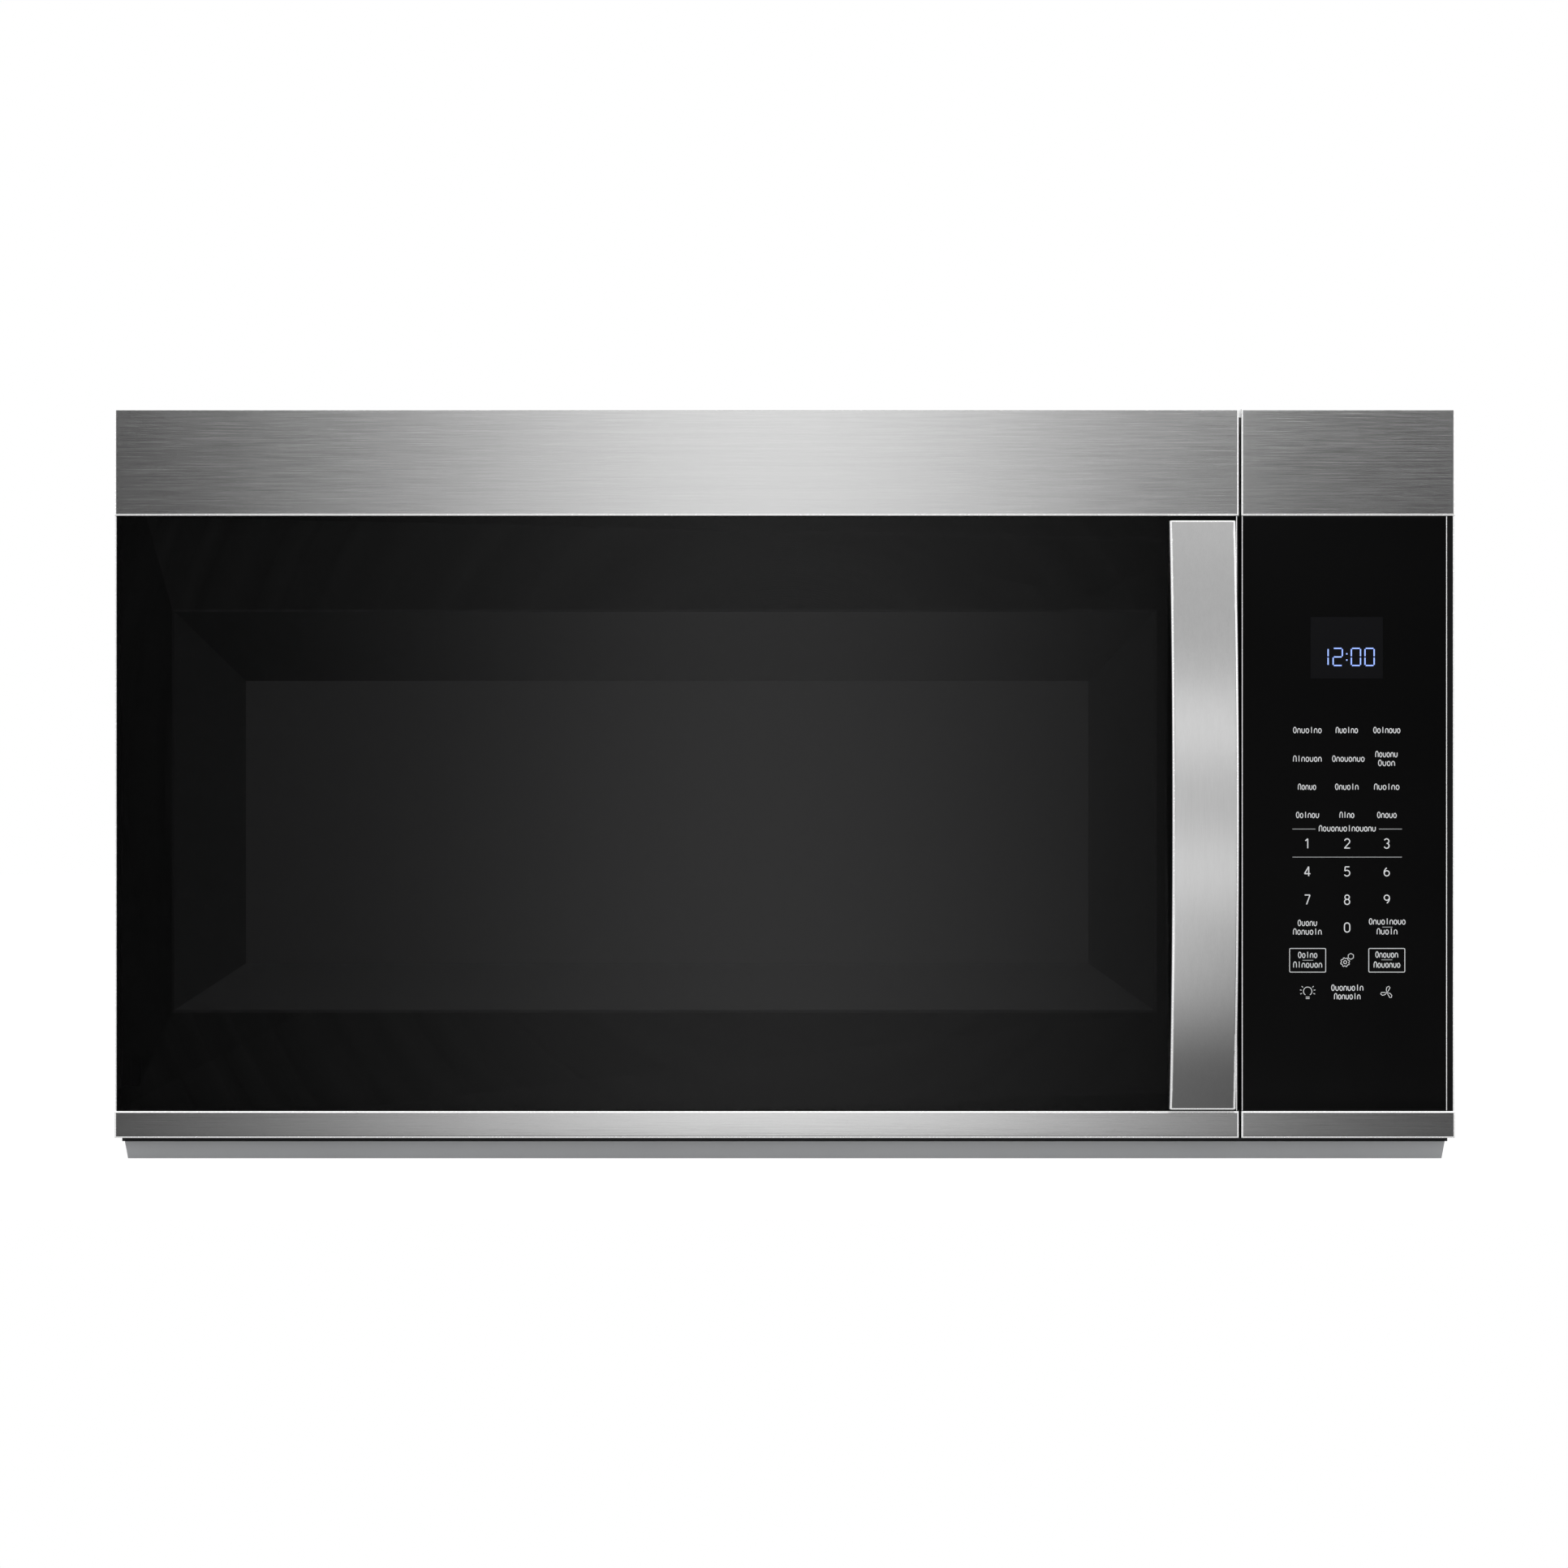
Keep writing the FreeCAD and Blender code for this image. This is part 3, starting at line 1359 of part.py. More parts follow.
def make_hinges():
    """Arms fixed behind the front frame that reach into the door, each with a pin through it."""
    brackets = []
    pins = []
    plate_left = hinge_x - hinge_arm_half
    for low, upward in ((hinge_low, 1), (hinge_high, -1)):
        middle = low + hinge_arm / 2
        plate = block(
            plate_left, plate_left + hinge_plate_width, oven_front - hinge_arm, oven_front,
            middle - hinge_plate_half, middle + hinge_plate_half,
        )
        arm = block(
            plate_left, hinge_x + hinge_arm_half, oven_front - hinge_arm, hinge_depth + hinge_arm_half,
            low, low + hinge_arm,
        )
        hole = rod("up", (hinge_x, hinge_depth), hinge_pin_radius, low - hinge_arm, low + 2 * hinge_arm)
        brackets.append(cut(fuse([plate, arm]), [hole]))
        inside = hinge_arm + hinge_space + hinge_boss - pin_short
        if upward > 0:
            shank = (low, low + inside)
            cap = (low - head_height, low)
        else:
            shank = (low + hinge_arm - inside, low + hinge_arm)
            cap = (low + hinge_arm, low + hinge_arm + head_height)
        pins.append(fuse([
            rod("up", (hinge_x, hinge_depth), hinge_pin_radius, *shank),
            rod("up", (hinge_x, hinge_depth), hinge_head, *cap),
        ]))
    group(brackets, "hinge_brackets")
    group(pins, "hinge_pins")


def make_latch():
    """Two hooks on one upright bar in the door, a spring above it, and the catch plate with its
    switches."""
    left = latch_x - latch_thick / 2
    right = latch_x + latch_thick / 2
    bar_near = door_rear + 2 * shaft_gap
    latch = Piece("door_latch")
    latch.pad("YZ", [
        rectangle(-bar_near - bar_depth, latch_low, -bar_near, latch_high + hook_height),
    ], left, right)
    tip = hook_depth + hook_tip_length
    for low in (latch_low, latch_high):
        hook = [
            (-bar_near - shaft_gap, low), (-bar_near - shaft_gap, low + hook_height),
            (-hook_depth - hook_tip, low + hook_height), (-hook_depth, low - hook_tip),
            (-tip, low - hook_tip), (-tip, low),
        ]
        latch.pad("YZ", [hook], left, right)
    latch.done()
    plate_far = latch_plate_x + latch_plate
    parts = [block(
        latch_plate_x, plate_far, hook_depth - switch_length - 2 * hook_tip, oven_front,
        latch_low - 2 * switch_height, latch_high + 2 * switch_height,
    )]
    switches = []
    for low in (latch_low, latch_high):
        parts.append(block(
            left - latch_thick / 2, latch_plate_x + latch_plate / 2, tip + catch_gap, tip + catch_gap + catch_depth,
            low - hook_tip - switch_height / 2, low - running_gap,
        ))
        body = block(
            latch_plate_x - switch_width, latch_plate_x, hook_depth - hook_tip - switch_length,
            hook_depth - hook_tip, low - hook_tip, low - hook_tip + switch_height,
        )
        plunger = rod(
            "forward", (latch_x + latch_thick / 4, low + hook_tip / 2), shaft_gap,
            hook_depth - hook_tip - shaft_gap, hook_depth - running_gap,
        )
        switches.append(fuse([body, plunger]))
    fuse(parts, "latch_board")
    group(switches, "interlock_switches")
    make_latch_spring()


def make_latch_spring():
    """A coil spring that stands on the latch bar."""
    low = latch_high + hook_height + spring_wire + running_gap
    depth = door_rear + 2 * shaft_gap + bar_depth / 2
    helix = primitive("Helix", "coils")
    bind(helix, "Pitch", spring_pitch)
    bind(helix, "Height", spring_length - 4 * spring_wire)
    bind(helix, "Radius", spring_radius)
    bind(helix, ".Placement.Base.x", latch_x)
    bind(helix, ".Placement.Base.y", 0 - depth)
    bind(helix, ".Placement.Base.z", low)
    wire = primitive("RegularPolygon", "wire")
    wire.Polygon = WIRE_SIDES
    wire.Placement = FreeCAD.Placement(Vector(), FreeCAD.Rotation(Vector(1, 0, 0), 90))
    bind(wire, "Circumradius", spring_wire)
    bind(wire, ".Placement.Base.x", latch_x + spring_radius)
    bind(wire, ".Placement.Base.y", 0 - depth)
    bind(wire, ".Placement.Base.z", low)
    coil = primitive("Sweep", "spring")
    coil.Sections = [wire]
    coil.Spine = (helix, [])
    coil.Solid = True
    coil.Frenet = True
    keep(coil, "latch_spring")


# --- Control panel --------------------------------------------------------------------------------

def make_control_panel():
    left = panel_left + band_sheet
    right = front_half - band_sheet
    box = (left, frame_low, right, frame_high)
    frame = Piece("control_panel_frame")
    opening = rectangle(display_left, display_low, display_right, display_high)
    frame.pad("XZ", [grown(box, 0 * shell_wall), opening], frame_face, glass_back)
    frame.pocket("XZ", [grown(box, -shell_wall)], frame_face - shell_wall, shell_inside)
    board_left = left + 2 * shell_wall
    board_right = right - 2 * shell_wall
    board_low = oven_floor
    board_high = oven_ceiling
    for x in (board_left, board_right - 2 * post_half):
        for z in (board_low, board_high - 2 * post_half):
            post = rectangle(x, z, x + 2 * post_half, z + 2 * post_half)
            frame.pad("XZ", [post], board_depth + board_thick, shell_inside + shell_wall / 2)
    frame.done()
    glass = Piece("control_glass")
    pane = rectangle(
        panel_left + running_gap, bar_top + running_gap, front_half - edge_recess, band_bottom - running_gap,
    )
    glass.pad("XZ", [pane], glass_back, glass_front)
    round_front(glass, glass_front, glass_round)
    glass.done()
    make_band("control_top_band", panel_left, front_half, band_bottom, front_top, True)
    make_band("control_bottom_bar", panel_left, front_half, door_bottom, bar_top, False)
    board = Piece("control_board")
    board.pad("XZ", [rectangle(board_left, board_low, board_right, board_high)],
              board_depth, board_depth + board_thick)
    relays = [
        window(panel_left + edge * relay_step, board_low + row * relay_rise + relay_first,
               relay_width, relay_height)
        for edge in (1, 2, 3) for row in range(4)
    ]
    board.pad("XZ", relays, board_depth - 2 * post_half, board_depth + board_thick / 2)
    board.done()
    module = Piece("display_module")
    module.pad("XZ", [rectangle(
        display_left + running_gap, display_low + running_gap,
        display_right - running_gap, display_high - running_gap,
    )], board_depth + board_thick, glass_back)
    module.done()


def make_grommet():
    sleeve = rod("up", (cord_x, cord_depth), cord_hole, case_top - 3 * case_sheet, case_top + case_sheet)
    flange = rod(
        "up", (cord_x, cord_depth), cord_hole + grommet_flange, case_top, case_top + 2 * case_sheet,
    )
    bore = rod("up", (cord_x, cord_depth), grommet_bore, case_top - grommet_bore, case_top + grommet_bore)
    cut(fuse([sleeve, flange]), [bore], "cord_grommet")


def build_all():
    make_case()
    make_rear_panel()
    make_base()
    make_front_frame()
    make_oven()
    make_waveguide()
    make_magnetron()
    make_high_voltage()
    make_cooling_fan()
    make_blower()
    make_exhaust()
    make_top_grille()
    make_bottom_fittings()
    make_turntable()
    make_door_frame()
    make_door_front()
    make_window()
    make_choke()
    make_handle()
    make_hinges()
    make_latch()
    make_control_panel()
    make_grommet()


def check_and_write():
    """Every feature has to be sound, and every cut has to have removed something, before a file is
    written."""
    doc.recompute()
    for made in doc.Objects:
        if "Invalid" in made.State or "Error" in made.State:
            raise RuntimeError(f"{made.Label}: {made.State}")
    for body, feature in cuts:
        before = feature.BaseFeature.Shape.Volume
        if feature.Shape.Volume > before - 1e-6:
            raise RuntimeError(f"{feature.Label} cuts nothing")
    os.makedirs("parts", exist_ok=True)
    for label, made in sorted(pieces.items()):
        shape = made.Shape
        if shape.isNull() or not shape.isValid():
            raise RuntimeError(f"{label} has no sound shape")
        shape.exportStep(f"parts/{label}.step")
        print(f"{label}: {len(shape.Solids)} solid(s), {shape.Volume / 1000:.1f} cm3")
    print(len(pieces), "nodes")


build_all()
check_and_write()
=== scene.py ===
import json
import math

import bpy
import numpy as np
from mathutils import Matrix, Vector

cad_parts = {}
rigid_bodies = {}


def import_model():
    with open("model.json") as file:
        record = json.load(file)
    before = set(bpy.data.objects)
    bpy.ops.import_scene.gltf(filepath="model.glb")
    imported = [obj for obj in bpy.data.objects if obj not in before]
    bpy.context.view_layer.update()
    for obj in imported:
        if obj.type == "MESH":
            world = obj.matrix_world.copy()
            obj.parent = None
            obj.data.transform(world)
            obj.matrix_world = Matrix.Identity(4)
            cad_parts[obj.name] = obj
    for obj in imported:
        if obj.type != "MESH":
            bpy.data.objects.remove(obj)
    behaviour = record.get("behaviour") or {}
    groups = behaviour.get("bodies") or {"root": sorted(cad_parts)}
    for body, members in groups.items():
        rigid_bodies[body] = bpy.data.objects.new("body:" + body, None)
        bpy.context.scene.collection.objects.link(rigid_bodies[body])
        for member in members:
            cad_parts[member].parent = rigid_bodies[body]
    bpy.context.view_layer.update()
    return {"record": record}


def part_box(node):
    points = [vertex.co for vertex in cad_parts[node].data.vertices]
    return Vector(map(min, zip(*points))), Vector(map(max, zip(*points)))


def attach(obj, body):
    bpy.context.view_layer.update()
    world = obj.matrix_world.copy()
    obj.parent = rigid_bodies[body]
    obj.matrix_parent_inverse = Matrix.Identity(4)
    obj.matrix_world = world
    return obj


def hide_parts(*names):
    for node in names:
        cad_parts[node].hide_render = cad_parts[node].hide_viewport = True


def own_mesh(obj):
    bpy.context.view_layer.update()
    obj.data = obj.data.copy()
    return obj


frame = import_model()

# --- Places taken from the frame, in metres ----------------------------------------------------------------------

DOOR_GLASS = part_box("door_glass")
CONTROL_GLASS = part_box("control_glass")
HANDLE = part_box("handle")
GLASS_FACE = CONTROL_GLASS[0][1]

# --- The photograph: its side and two of its places in pixels, and metres per pixel --------------------------------

PHOTO_SIZE = 1932
PHOTO_SCALE = 0.0004595
PHOTO_CENTRE_X = 966.95
PHOTO_BASE_ROW = 1428


def photo_x(pixel):
    """Across, from a column of the photograph."""
    return (pixel - PHOTO_CENTRE_X) * PHOTO_SCALE


def photo_z(pixel):
    """Height above the base, from a row of the photograph."""
    return (PHOTO_BASE_ROW - pixel) * PHOTO_SCALE


# --- Objects ------------------------------------------------------------------------------------------------------

def linked(name, data):
    """A new object of the scene, at the origin."""
    made = bpy.data.objects.new(name, data)
    bpy.context.scene.collection.objects.link(made)
    return made


def shown_piece(name, mesh, finish, body):
    """A mesh made a shown piece, with its finish, riding on a body."""
    mesh.materials.append(finish)
    made = linked(name, mesh)
    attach(made, body)
    return made


# --- Shader sums --------------------------------------------------------------------------------------------------

# Sockets of the Mix node that carry colour.
MIX_LOW, MIX_HIGH, MIX_RESULT = 6, 7, 2


class Value:
    """A shader socket that takes part in plain sums."""

    def __init__(self, finish, socket):
        self.finish = finish
        self.socket = socket

    def math(self, operation, other, swapped=False):
        """A sum of this value and another, which comes first where they are swapped."""
        first, second = (other, self) if swapped else (self, other)
        return self.finish.node("ShaderNodeMath", {"operation": operation}, {0: first, 1: second})

    def __add__(self, other):
        return self.math("ADD", other)

    def __sub__(self, other):
        return self.math("SUBTRACT", other)

    def __mul__(self, other):
        return self.math("MULTIPLY", other)

    def power_of(self, base):
        """A base raised to this value."""
        return self.math("POWER", base, True)

    def above(self, edge):
        """1 where this value is above an edge, and 0 elsewhere."""
        return self.math("GREATER_THAN", edge)


class Finish:
    """A material, with one method for any node and one for its shader."""

    def __init__(self, name):
        self.material = bpy.data.materials.new(name)
        self.material.use_nodes = True
        self.tree = self.material.node_tree
        self.tree.nodes.clear()
        self.output = self.tree.nodes.new("ShaderNodeOutputMaterial")
        place = self.tree.nodes.new("ShaderNodeTexCoord")
        self.place = Value(self, place.outputs["Object"])

    def node(self, kind, settings, inputs, output=0):
        """A node with its settings and inputs, given as the value of one output."""
        made = self.tree.nodes.new(kind)
        for key, value in settings.items():
            setattr(made, key, value)
        for key, value in inputs.items():
            if isinstance(value, Value):
                self.tree.links.new(value.socket, made.inputs[key])
            else:
                made.inputs[key].default_value = value
        return Value(self, made.outputs[output])

    def noise(self, scale, detail=2, stretch=(1, 1, 1)):
        """Noise over the object's own coordinates, stretched along an axis by a small factor there."""
        along = self.node("ShaderNodeMapping", {}, {"Vector": self.place, "Scale": stretch})
        return self.node("ShaderNodeTexNoise", {}, {"Vector": along, "Scale": scale, "Detail": detail})

    def between(self, factor, low, high):
        """A colour that runs from one shade to another."""
        colours = {"Factor": factor, MIX_LOW: (*low, 1), MIX_HIGH: (*high, 1)}
        return self.node("ShaderNodeMix", {"data_type": "RGBA"}, colours, MIX_RESULT)

    def about(self, factor, shade, darker, lighter):
        """A colour that runs from a darker to a lighter share of one shade."""
        return self.between(factor, tuple(darker * part for part in shade),
                            tuple(min(1.0, lighter * part) for part in shade))

    def span(self, factor, low, high):
        """A number that runs from low to high as the factor runs from 0 to 1."""
        return factor * (high - low) + low

    def bump(self, height, strength, distance):
        """A surface normal tilted by a height, over a distance in metres."""
        return self.node("ShaderNodeBump", {}, {"Height": height, "Strength": strength, "Distance": distance})

    def shade(self, colour, **inputs):
        """The material, with one Principled shader whose inputs are named with underscores for spaces."""
        shader = self.node("ShaderNodeBsdfPrincipled", {}, {
            "Base Color": colour,
            **{key.replace("_", " "): value for key, value in inputs.items()},
        })
        self.surface(shader)
        return self.material

    def surface(self, shader):
        """Puts a shader on the surface."""
        self.tree.links.new(shader.socket, self.output.inputs["Surface"])


# --- Finishes: a scale counts features along a metre, a depth is in metres -----------------------------------------

NO_GRAIN = (1, 1, 1)
BRUSH_LINES, BRUSH_STREAKS, BRUSH_CLOUDS = 2200, 420, 9
STREAK_SHARE = 0.28
BRUSH_DEPTH = 0.00015
MOULD_DEPTH = 0.0003
PAINT_DEPTH = 0.0004
SPECKLE_SCALE = 1400
SPANGLE_SCALE = 150.0
NET_SCALE = 160.0
NET_DEPTH = 0.001
HOLE_SCALE = 420.0
HOLE_RADIUS = 0.34
HOLE_ALPHA = 0.25


def brushed_steel(name, grain, shade, rough, clouds=0.12):
    """Stainless steel with fine lines along one axis: a grain stretch is small where the lines run."""
    finish = Finish(name)
    lines = finish.noise(BRUSH_LINES, 3, grain)
    streaks = finish.noise(BRUSH_STREAKS, 2, grain)
    cloud = finish.noise(BRUSH_CLOUDS, 2)
    tone = lines * (1 - STREAK_SHARE - clouds) + streaks * STREAK_SHARE + cloud * clouds
    return finish.shade(
        finish.about(tone, shade, 0.86, 1.13), Metallic=1.0,
        Roughness=finish.span(lines * 0.7 + cloud * 0.3, rough - 0.05, rough + 0.07),
        Normal=finish.bump(lines, 0.1, BRUSH_DEPTH),
    )


def glowing_glint(name, shade, glow_strength):
    """Steel that reflects the room and also glows as a bright line: a painted glint, though it is no lamp."""
    finish = Finish(name)
    lines = finish.noise(900, 2)
    colour = finish.about(lines, shade, 0.9, 1.0)
    return finish.shade(colour, Metallic=0.6, Roughness=finish.span(lines, 0.2, 0.32), Emission_Color=colour,
                        Emission_Strength=glow_strength)


def moulded(name, shade, rough, grain_size=700, depth=0.12, shine=0.5):
    """Moulded plastic: a fine spark-eroded grain, faint clouds and a duller patch here and there."""
    finish = Finish(name)
    grain = finish.noise(grain_size, 3)
    cloud = finish.noise(14, 3)
    return finish.shade(
        finish.about(cloud, shade, 0.86, 1.14), Roughness=finish.span(cloud, rough - 0.06, rough + 0.08),
        Normal=finish.bump(grain, depth, MOULD_DEPTH), Specular_IOR_Level=shine,
    )


def painted(name, shade, rough, peel=260, depth=0.1, speckle=0.1):
    """Paint on sheet: orange peel, a slight speckle and worn, duller patches."""
    finish = Finish(name)
    skin = finish.noise(peel, 2)
    dots = finish.noise(SPECKLE_SCALE, 1)
    cloud = finish.noise(6, 3)
    tone = cloud * (1 - speckle) + dots * speckle
    return finish.shade(
        finish.about(tone, shade, 0.88, 1.1), Roughness=finish.span(cloud, rough - 0.06, rough + 0.06),
        Normal=finish.bump(skin, depth, PAINT_DEPTH),
    )


def zinc(name, shade):
    """Zinc-coated sheet: crystals of slightly different greys, with a soft shine."""
    finish = Finish(name)
    cells = finish.node("ShaderNodeTexVoronoi", {}, {"Vector": finish.place, "Scale": SPANGLE_SCALE}, 1)
    spangle = finish.node("ShaderNodeRGBToBW", {}, {0: cells})
    cloud = finish.noise(12, 2)
    colour = finish.about(spangle * 0.5 + cloud * 0.5, shade, 0.88, 1.12)
    return finish.shade(colour, Metallic=0.85, Roughness=finish.span(spangle, 0.38, 0.48))


def dark_glass(name, shade, rough, clear=0.0, shine=0.35):
    """Tinted glass with the faintest haze, and where asked a share that lets the inside show through."""
    finish = Finish(name)
    haze = finish.noise(7, 2)
    smear = finish.noise(40, 3, (1, 1, 0.25))
    return finish.shade(
        finish.about(haze, shade, 0.7, 1.3), Roughness=finish.span(smear, rough, rough + 0.03),
        Alpha=1.0 - clear, Specular_IOR_Level=shine,
    )


def clear_glass(name, shade, alpha, rough):
    """Clear or frosted glass that lets a share of the light straight through."""
    finish = Finish(name)
    haze = finish.noise(18, 3)
    return finish.shade(finish.about(haze, shade, 0.93, 1.0), Alpha=alpha,
                        Roughness=finish.span(haze, rough, rough + 0.06))


def printed(name, shade, glow_strength):
    """Screen-printed ink with a slightly uneven tone, which glows a little."""
    finish = Finish(name)
    cloud = finish.noise(160, 2)
    colour = finish.about(cloud, shade, 0.88, 1.0)
    return finish.shade(colour, Roughness=finish.span(cloud, 0.42, 0.55), Emission_Color=colour,
                        Emission_Strength=glow_strength)


def mesh_filter(name):
    """Layers of expanded aluminium: two crossed sets of lines, pressed flat."""
    finish = Finish(name)
    turned = finish.node("ShaderNodeMapping", {}, {"Vector": finish.place, "Rotation": (0, 0, math.pi / 2)})
    bands = [finish.node("ShaderNodeTexWave", {"wave_type": "BANDS", "bands_direction": "DIAGONAL"},
                         {"Vector": way, "Scale": NET_SCALE, "Distortion": 1.5}) for way in (finish.place, turned)]
    net = bands[0] * bands[1]
    colour = finish.between(net, (0.2, 0.2, 0.2), (0.75, 0.76, 0.77))
    return finish.shade(colour, Metallic=1.0, Roughness=finish.span(net, 0.5, 0.3),
                        Normal=finish.bump(net, 0.6, NET_DEPTH))


def perforated(name):
    """Black sheet with rows of small round holes, through which the lit oven shows faintly."""
    finish = Finish(name)
    holes = {"Vector": finish.place, "Scale": HOLE_SCALE, "Randomness": 0.0}
    sheet = finish.node("ShaderNodeTexVoronoi", {}, holes).above(HOLE_RADIUS)
    colour = finish.between(sheet, (0.03, 0.03, 0.03), (0.020, 0.020, 0.021))
    return finish.shade(colour, Roughness=finish.span(sheet, 0.7, 0.45),
                        Alpha=finish.span(sheet, HOLE_ALPHA, 1.0))


finishes = {
    "steel_front": brushed_steel("brushed_front_steel", (0.012, 1, 1), (0.622, 0.622, 0.622), rough=0.145),
    "steel_handle": brushed_steel("satin_handle_steel", (1, 1, 0.03), (0.74, 0.74, 0.74), rough=0.3, clouds=0.3),
    "black_glass": dark_glass("tinted_door_glass", (0.0015, 0.0015, 0.0016), rough=0.04, clear=0.72, shine=0.47),
    "control_black": dark_glass("black_control_glass", (0.0054, 0.0054, 0.0055), rough=0.05, shine=0.16),
    "case_paint": painted("dark_case_paint", (0.032, 0.032, 0.035), rough=0.45, peel=420, depth=0.22),
    "pan_paint": painted("pale_pan_paint", (0.58, 0.59, 0.605), rough=0.38),
    "zinc_steel": zinc("zinc_sheet", (0.56, 0.57, 0.58)),
    "oven_enamel": painted("oven_enamel", (0.50, 0.50, 0.485), rough=0.3, peel=180, depth=0.06, speckle=0.3),
    "door_plastic": moulded("black_door_plastic", (0.009, 0.009, 0.0093), rough=0.5, grain_size=300, depth=0.03,
                            shine=0.15),
    "grey_plastic": moulded("dark_grey_plastic", (0.06, 0.06, 0.063), rough=0.45),
    "white_plastic": moulded("off_white_plastic", (0.70, 0.69, 0.65), rough=0.4, grain_size=500, depth=0.05),
    "bezel_black": moulded("satin_bezel", (0.0115, 0.0118, 0.0125), rough=0.34, grain_size=300, depth=0.02,
                           shine=0.22),
    "screen_black": perforated("perforated_screen"),
    "tray_glass": clear_glass("clear_tray_glass", (0.80, 0.87, 0.86), alpha=0.38, rough=0.04),
    "lens_clear": clear_glass("frosted_lens", (0.86, 0.88, 0.89), alpha=0.55, rough=0.3),
    "lamp_white": moulded("lamp_body", (0.82, 0.80, 0.72), rough=0.35),
    "filter_mesh": mesh_filter("aluminium_mesh"),
    "duct_zinc": zinc("galvanised_duct", (0.6, 0.61, 0.62)),
    "charcoal": painted("charcoal_bed", (0.02, 0.02, 0.02), rough=0.85, peel=300, depth=0.6, speckle=0.5),
    "core_steel": painted("laminated_core", (0.16, 0.14, 0.12), rough=0.5, peel=500, depth=0.3),
    "fin_aluminium": brushed_steel("pressed_fins", (1, 1, 0.1), (0.72, 0.72, 0.73), rough=0.36),
    "bright_aluminium": brushed_steel("drawn_can", (1, 1, 0.05), (0.78, 0.78, 0.79), rough=0.25),
    "board_green": painted("circuit_board", (0.03, 0.14, 0.06), rough=0.35, peel=900, depth=0.08),
    "display_dark": dark_glass("display_window", (0.012, 0.015, 0.024), rough=0.12),
    "mica": painted("mica_sheet", (0.5, 0.43, 0.32), rough=0.5, peel=60, speckle=0.4),
    "spring_steel": brushed_steel("spring_wire", NO_GRAIN, (0.6, 0.6, 0.61), rough=0.22),
    "pin_steel": brushed_steel("plated_pins", (1, 1, 0.4), (0.66, 0.66, 0.67), rough=0.24),
    "rubber_black": moulded("black_rubber", (0.015, 0.015, 0.015), rough=0.62, grain_size=400, depth=0.2),
}

for part in frame["record"]["subparts"]:
    materials = bpy.data.objects[part["node"]].data.materials
    materials.clear()
    materials.append(finishes[part["material_slot"]])


# --- Print on the control glass ----------------------------------------------------------------------------------

PRINT_LIFT = 0.00012
INK_THICKNESS = PRINT_LIFT / 2
LINE_STROKE = 0.00046
NUMBER_STROKE = 0.00062
RULE_STROKE = 0.00036
SIGN_STROKE = 0.0004
INK = printed("pale_key_print", (0.70, 0.71, 0.72), 0.34)
INK_DIM = printed("dim_key_print", (0.42, 0.43, 0.44), 0.25)
SEGMENT = printed("lit_segment", (0.30, 0.44, 0.98), 0.9)


def ribbon(points, width):
    """A flat stroke: each point of the path gives two corners, half a width to either side of its direction."""
    path = np.asarray(points, float)
    closed = np.allclose(path[0], path[-1])
    run = np.gradient(path, axis=0)
    if closed:
        run[0] = run[-1] = path[1] - path[-2]
    run /= np.linalg.norm(run, axis=1)[:, None]
    side = np.stack([-run[:, 1], run[:, 0]], axis=1) * width / 2
    corners = np.concatenate([path + side, path - side])
    count = len(path)
    first = np.arange(count - 1)
    faces = np.stack([first, first + count, first + count + 1, first + 1], axis=1)
    return corners, faces


def flat_piece(name, strokes, width, finish, lift=PRINT_LIFT):
    """Strokes laid on the control glass, as one mesh that faces forwards. Places are (across, up) in metres."""
    corners, faces, count = [], [], 0
    for stroke in strokes:
        made, joined = ribbon(stroke, width)
        corners.append(made)
        faces.append(joined + count)
        count += len(made)
    flat = np.concatenate(corners)
    places = np.stack([flat[:, 0], np.full(len(flat), GLASS_FACE - lift), flat[:, 1]], axis=1)
    mesh = bpy.data.meshes.new(name)
    mesh.from_pydata(places.tolist(), [], np.concatenate(faces)[:, ::-1].tolist())
    shown_piece(name, mesh, finish, "chassis").modifiers.new("ink", "SOLIDIFY").thickness = INK_THICKNESS


def arc(x, z, radius, start=0, end=360, steps=28):
    """Points round a circle between two angles in degrees."""
    angle = np.radians(np.linspace(start, end, steps))
    return np.stack([x + radius * np.cos(angle), z + radius * np.sin(angle)], axis=1)


# Strokes of each digit on a cell one unit high and 0.6 wide, with its corner at the lower left.
DIGIT_STROKES = {
    "0": [arc(0.3, 0.7, 0.28, 0, 180, 14), arc(0.3, 0.3, 0.28, 180, 360, 14), [(0.02, 0.3), (0.02, 0.7)],
          [(0.58, 0.3), (0.58, 0.7)]],
    "1": [[(0.1, 0.78), (0.34, 1.0)], [(0.34, 1.0), (0.34, 0.0)]],
    "2": [arc(0.3, 0.72, 0.27, 165, -35, 18), [(0.52, 0.565), (0.03, 0.02)], [(0.0, 0.02), (0.6, 0.02)]],
    "3": [arc(0.28, 0.75, 0.24, 160, -90, 16), arc(0.28, 0.26, 0.26, 90, -160, 16)],
    "4": [[(0.44, 0.0), (0.44, 1.0)], [(0.44, 1.0), (0.0, 0.26)], [(0.0, 0.26), (0.62, 0.26)]],
    "5": [[(0.54, 0.98), (0.1, 0.98)], [(0.1, 0.98), (0.06, 0.55)], arc(0.28, 0.32, 0.3, 135, -150, 20)],
    "6": [arc(0.3, 0.3, 0.27), arc(0.62, 0.36, 0.6, 180, 122, 10)],
    "7": [[(0.02, 0.98), (0.58, 0.98)], [(0.58, 0.98), (0.22, 0.0)]],
    "8": [arc(0.3, 0.75, 0.23), arc(0.3, 0.26, 0.27)],
    "9": [arc(0.3, 0.7, 0.27), arc(-0.02, 0.64, 0.6, 0, -58, 10)],
}


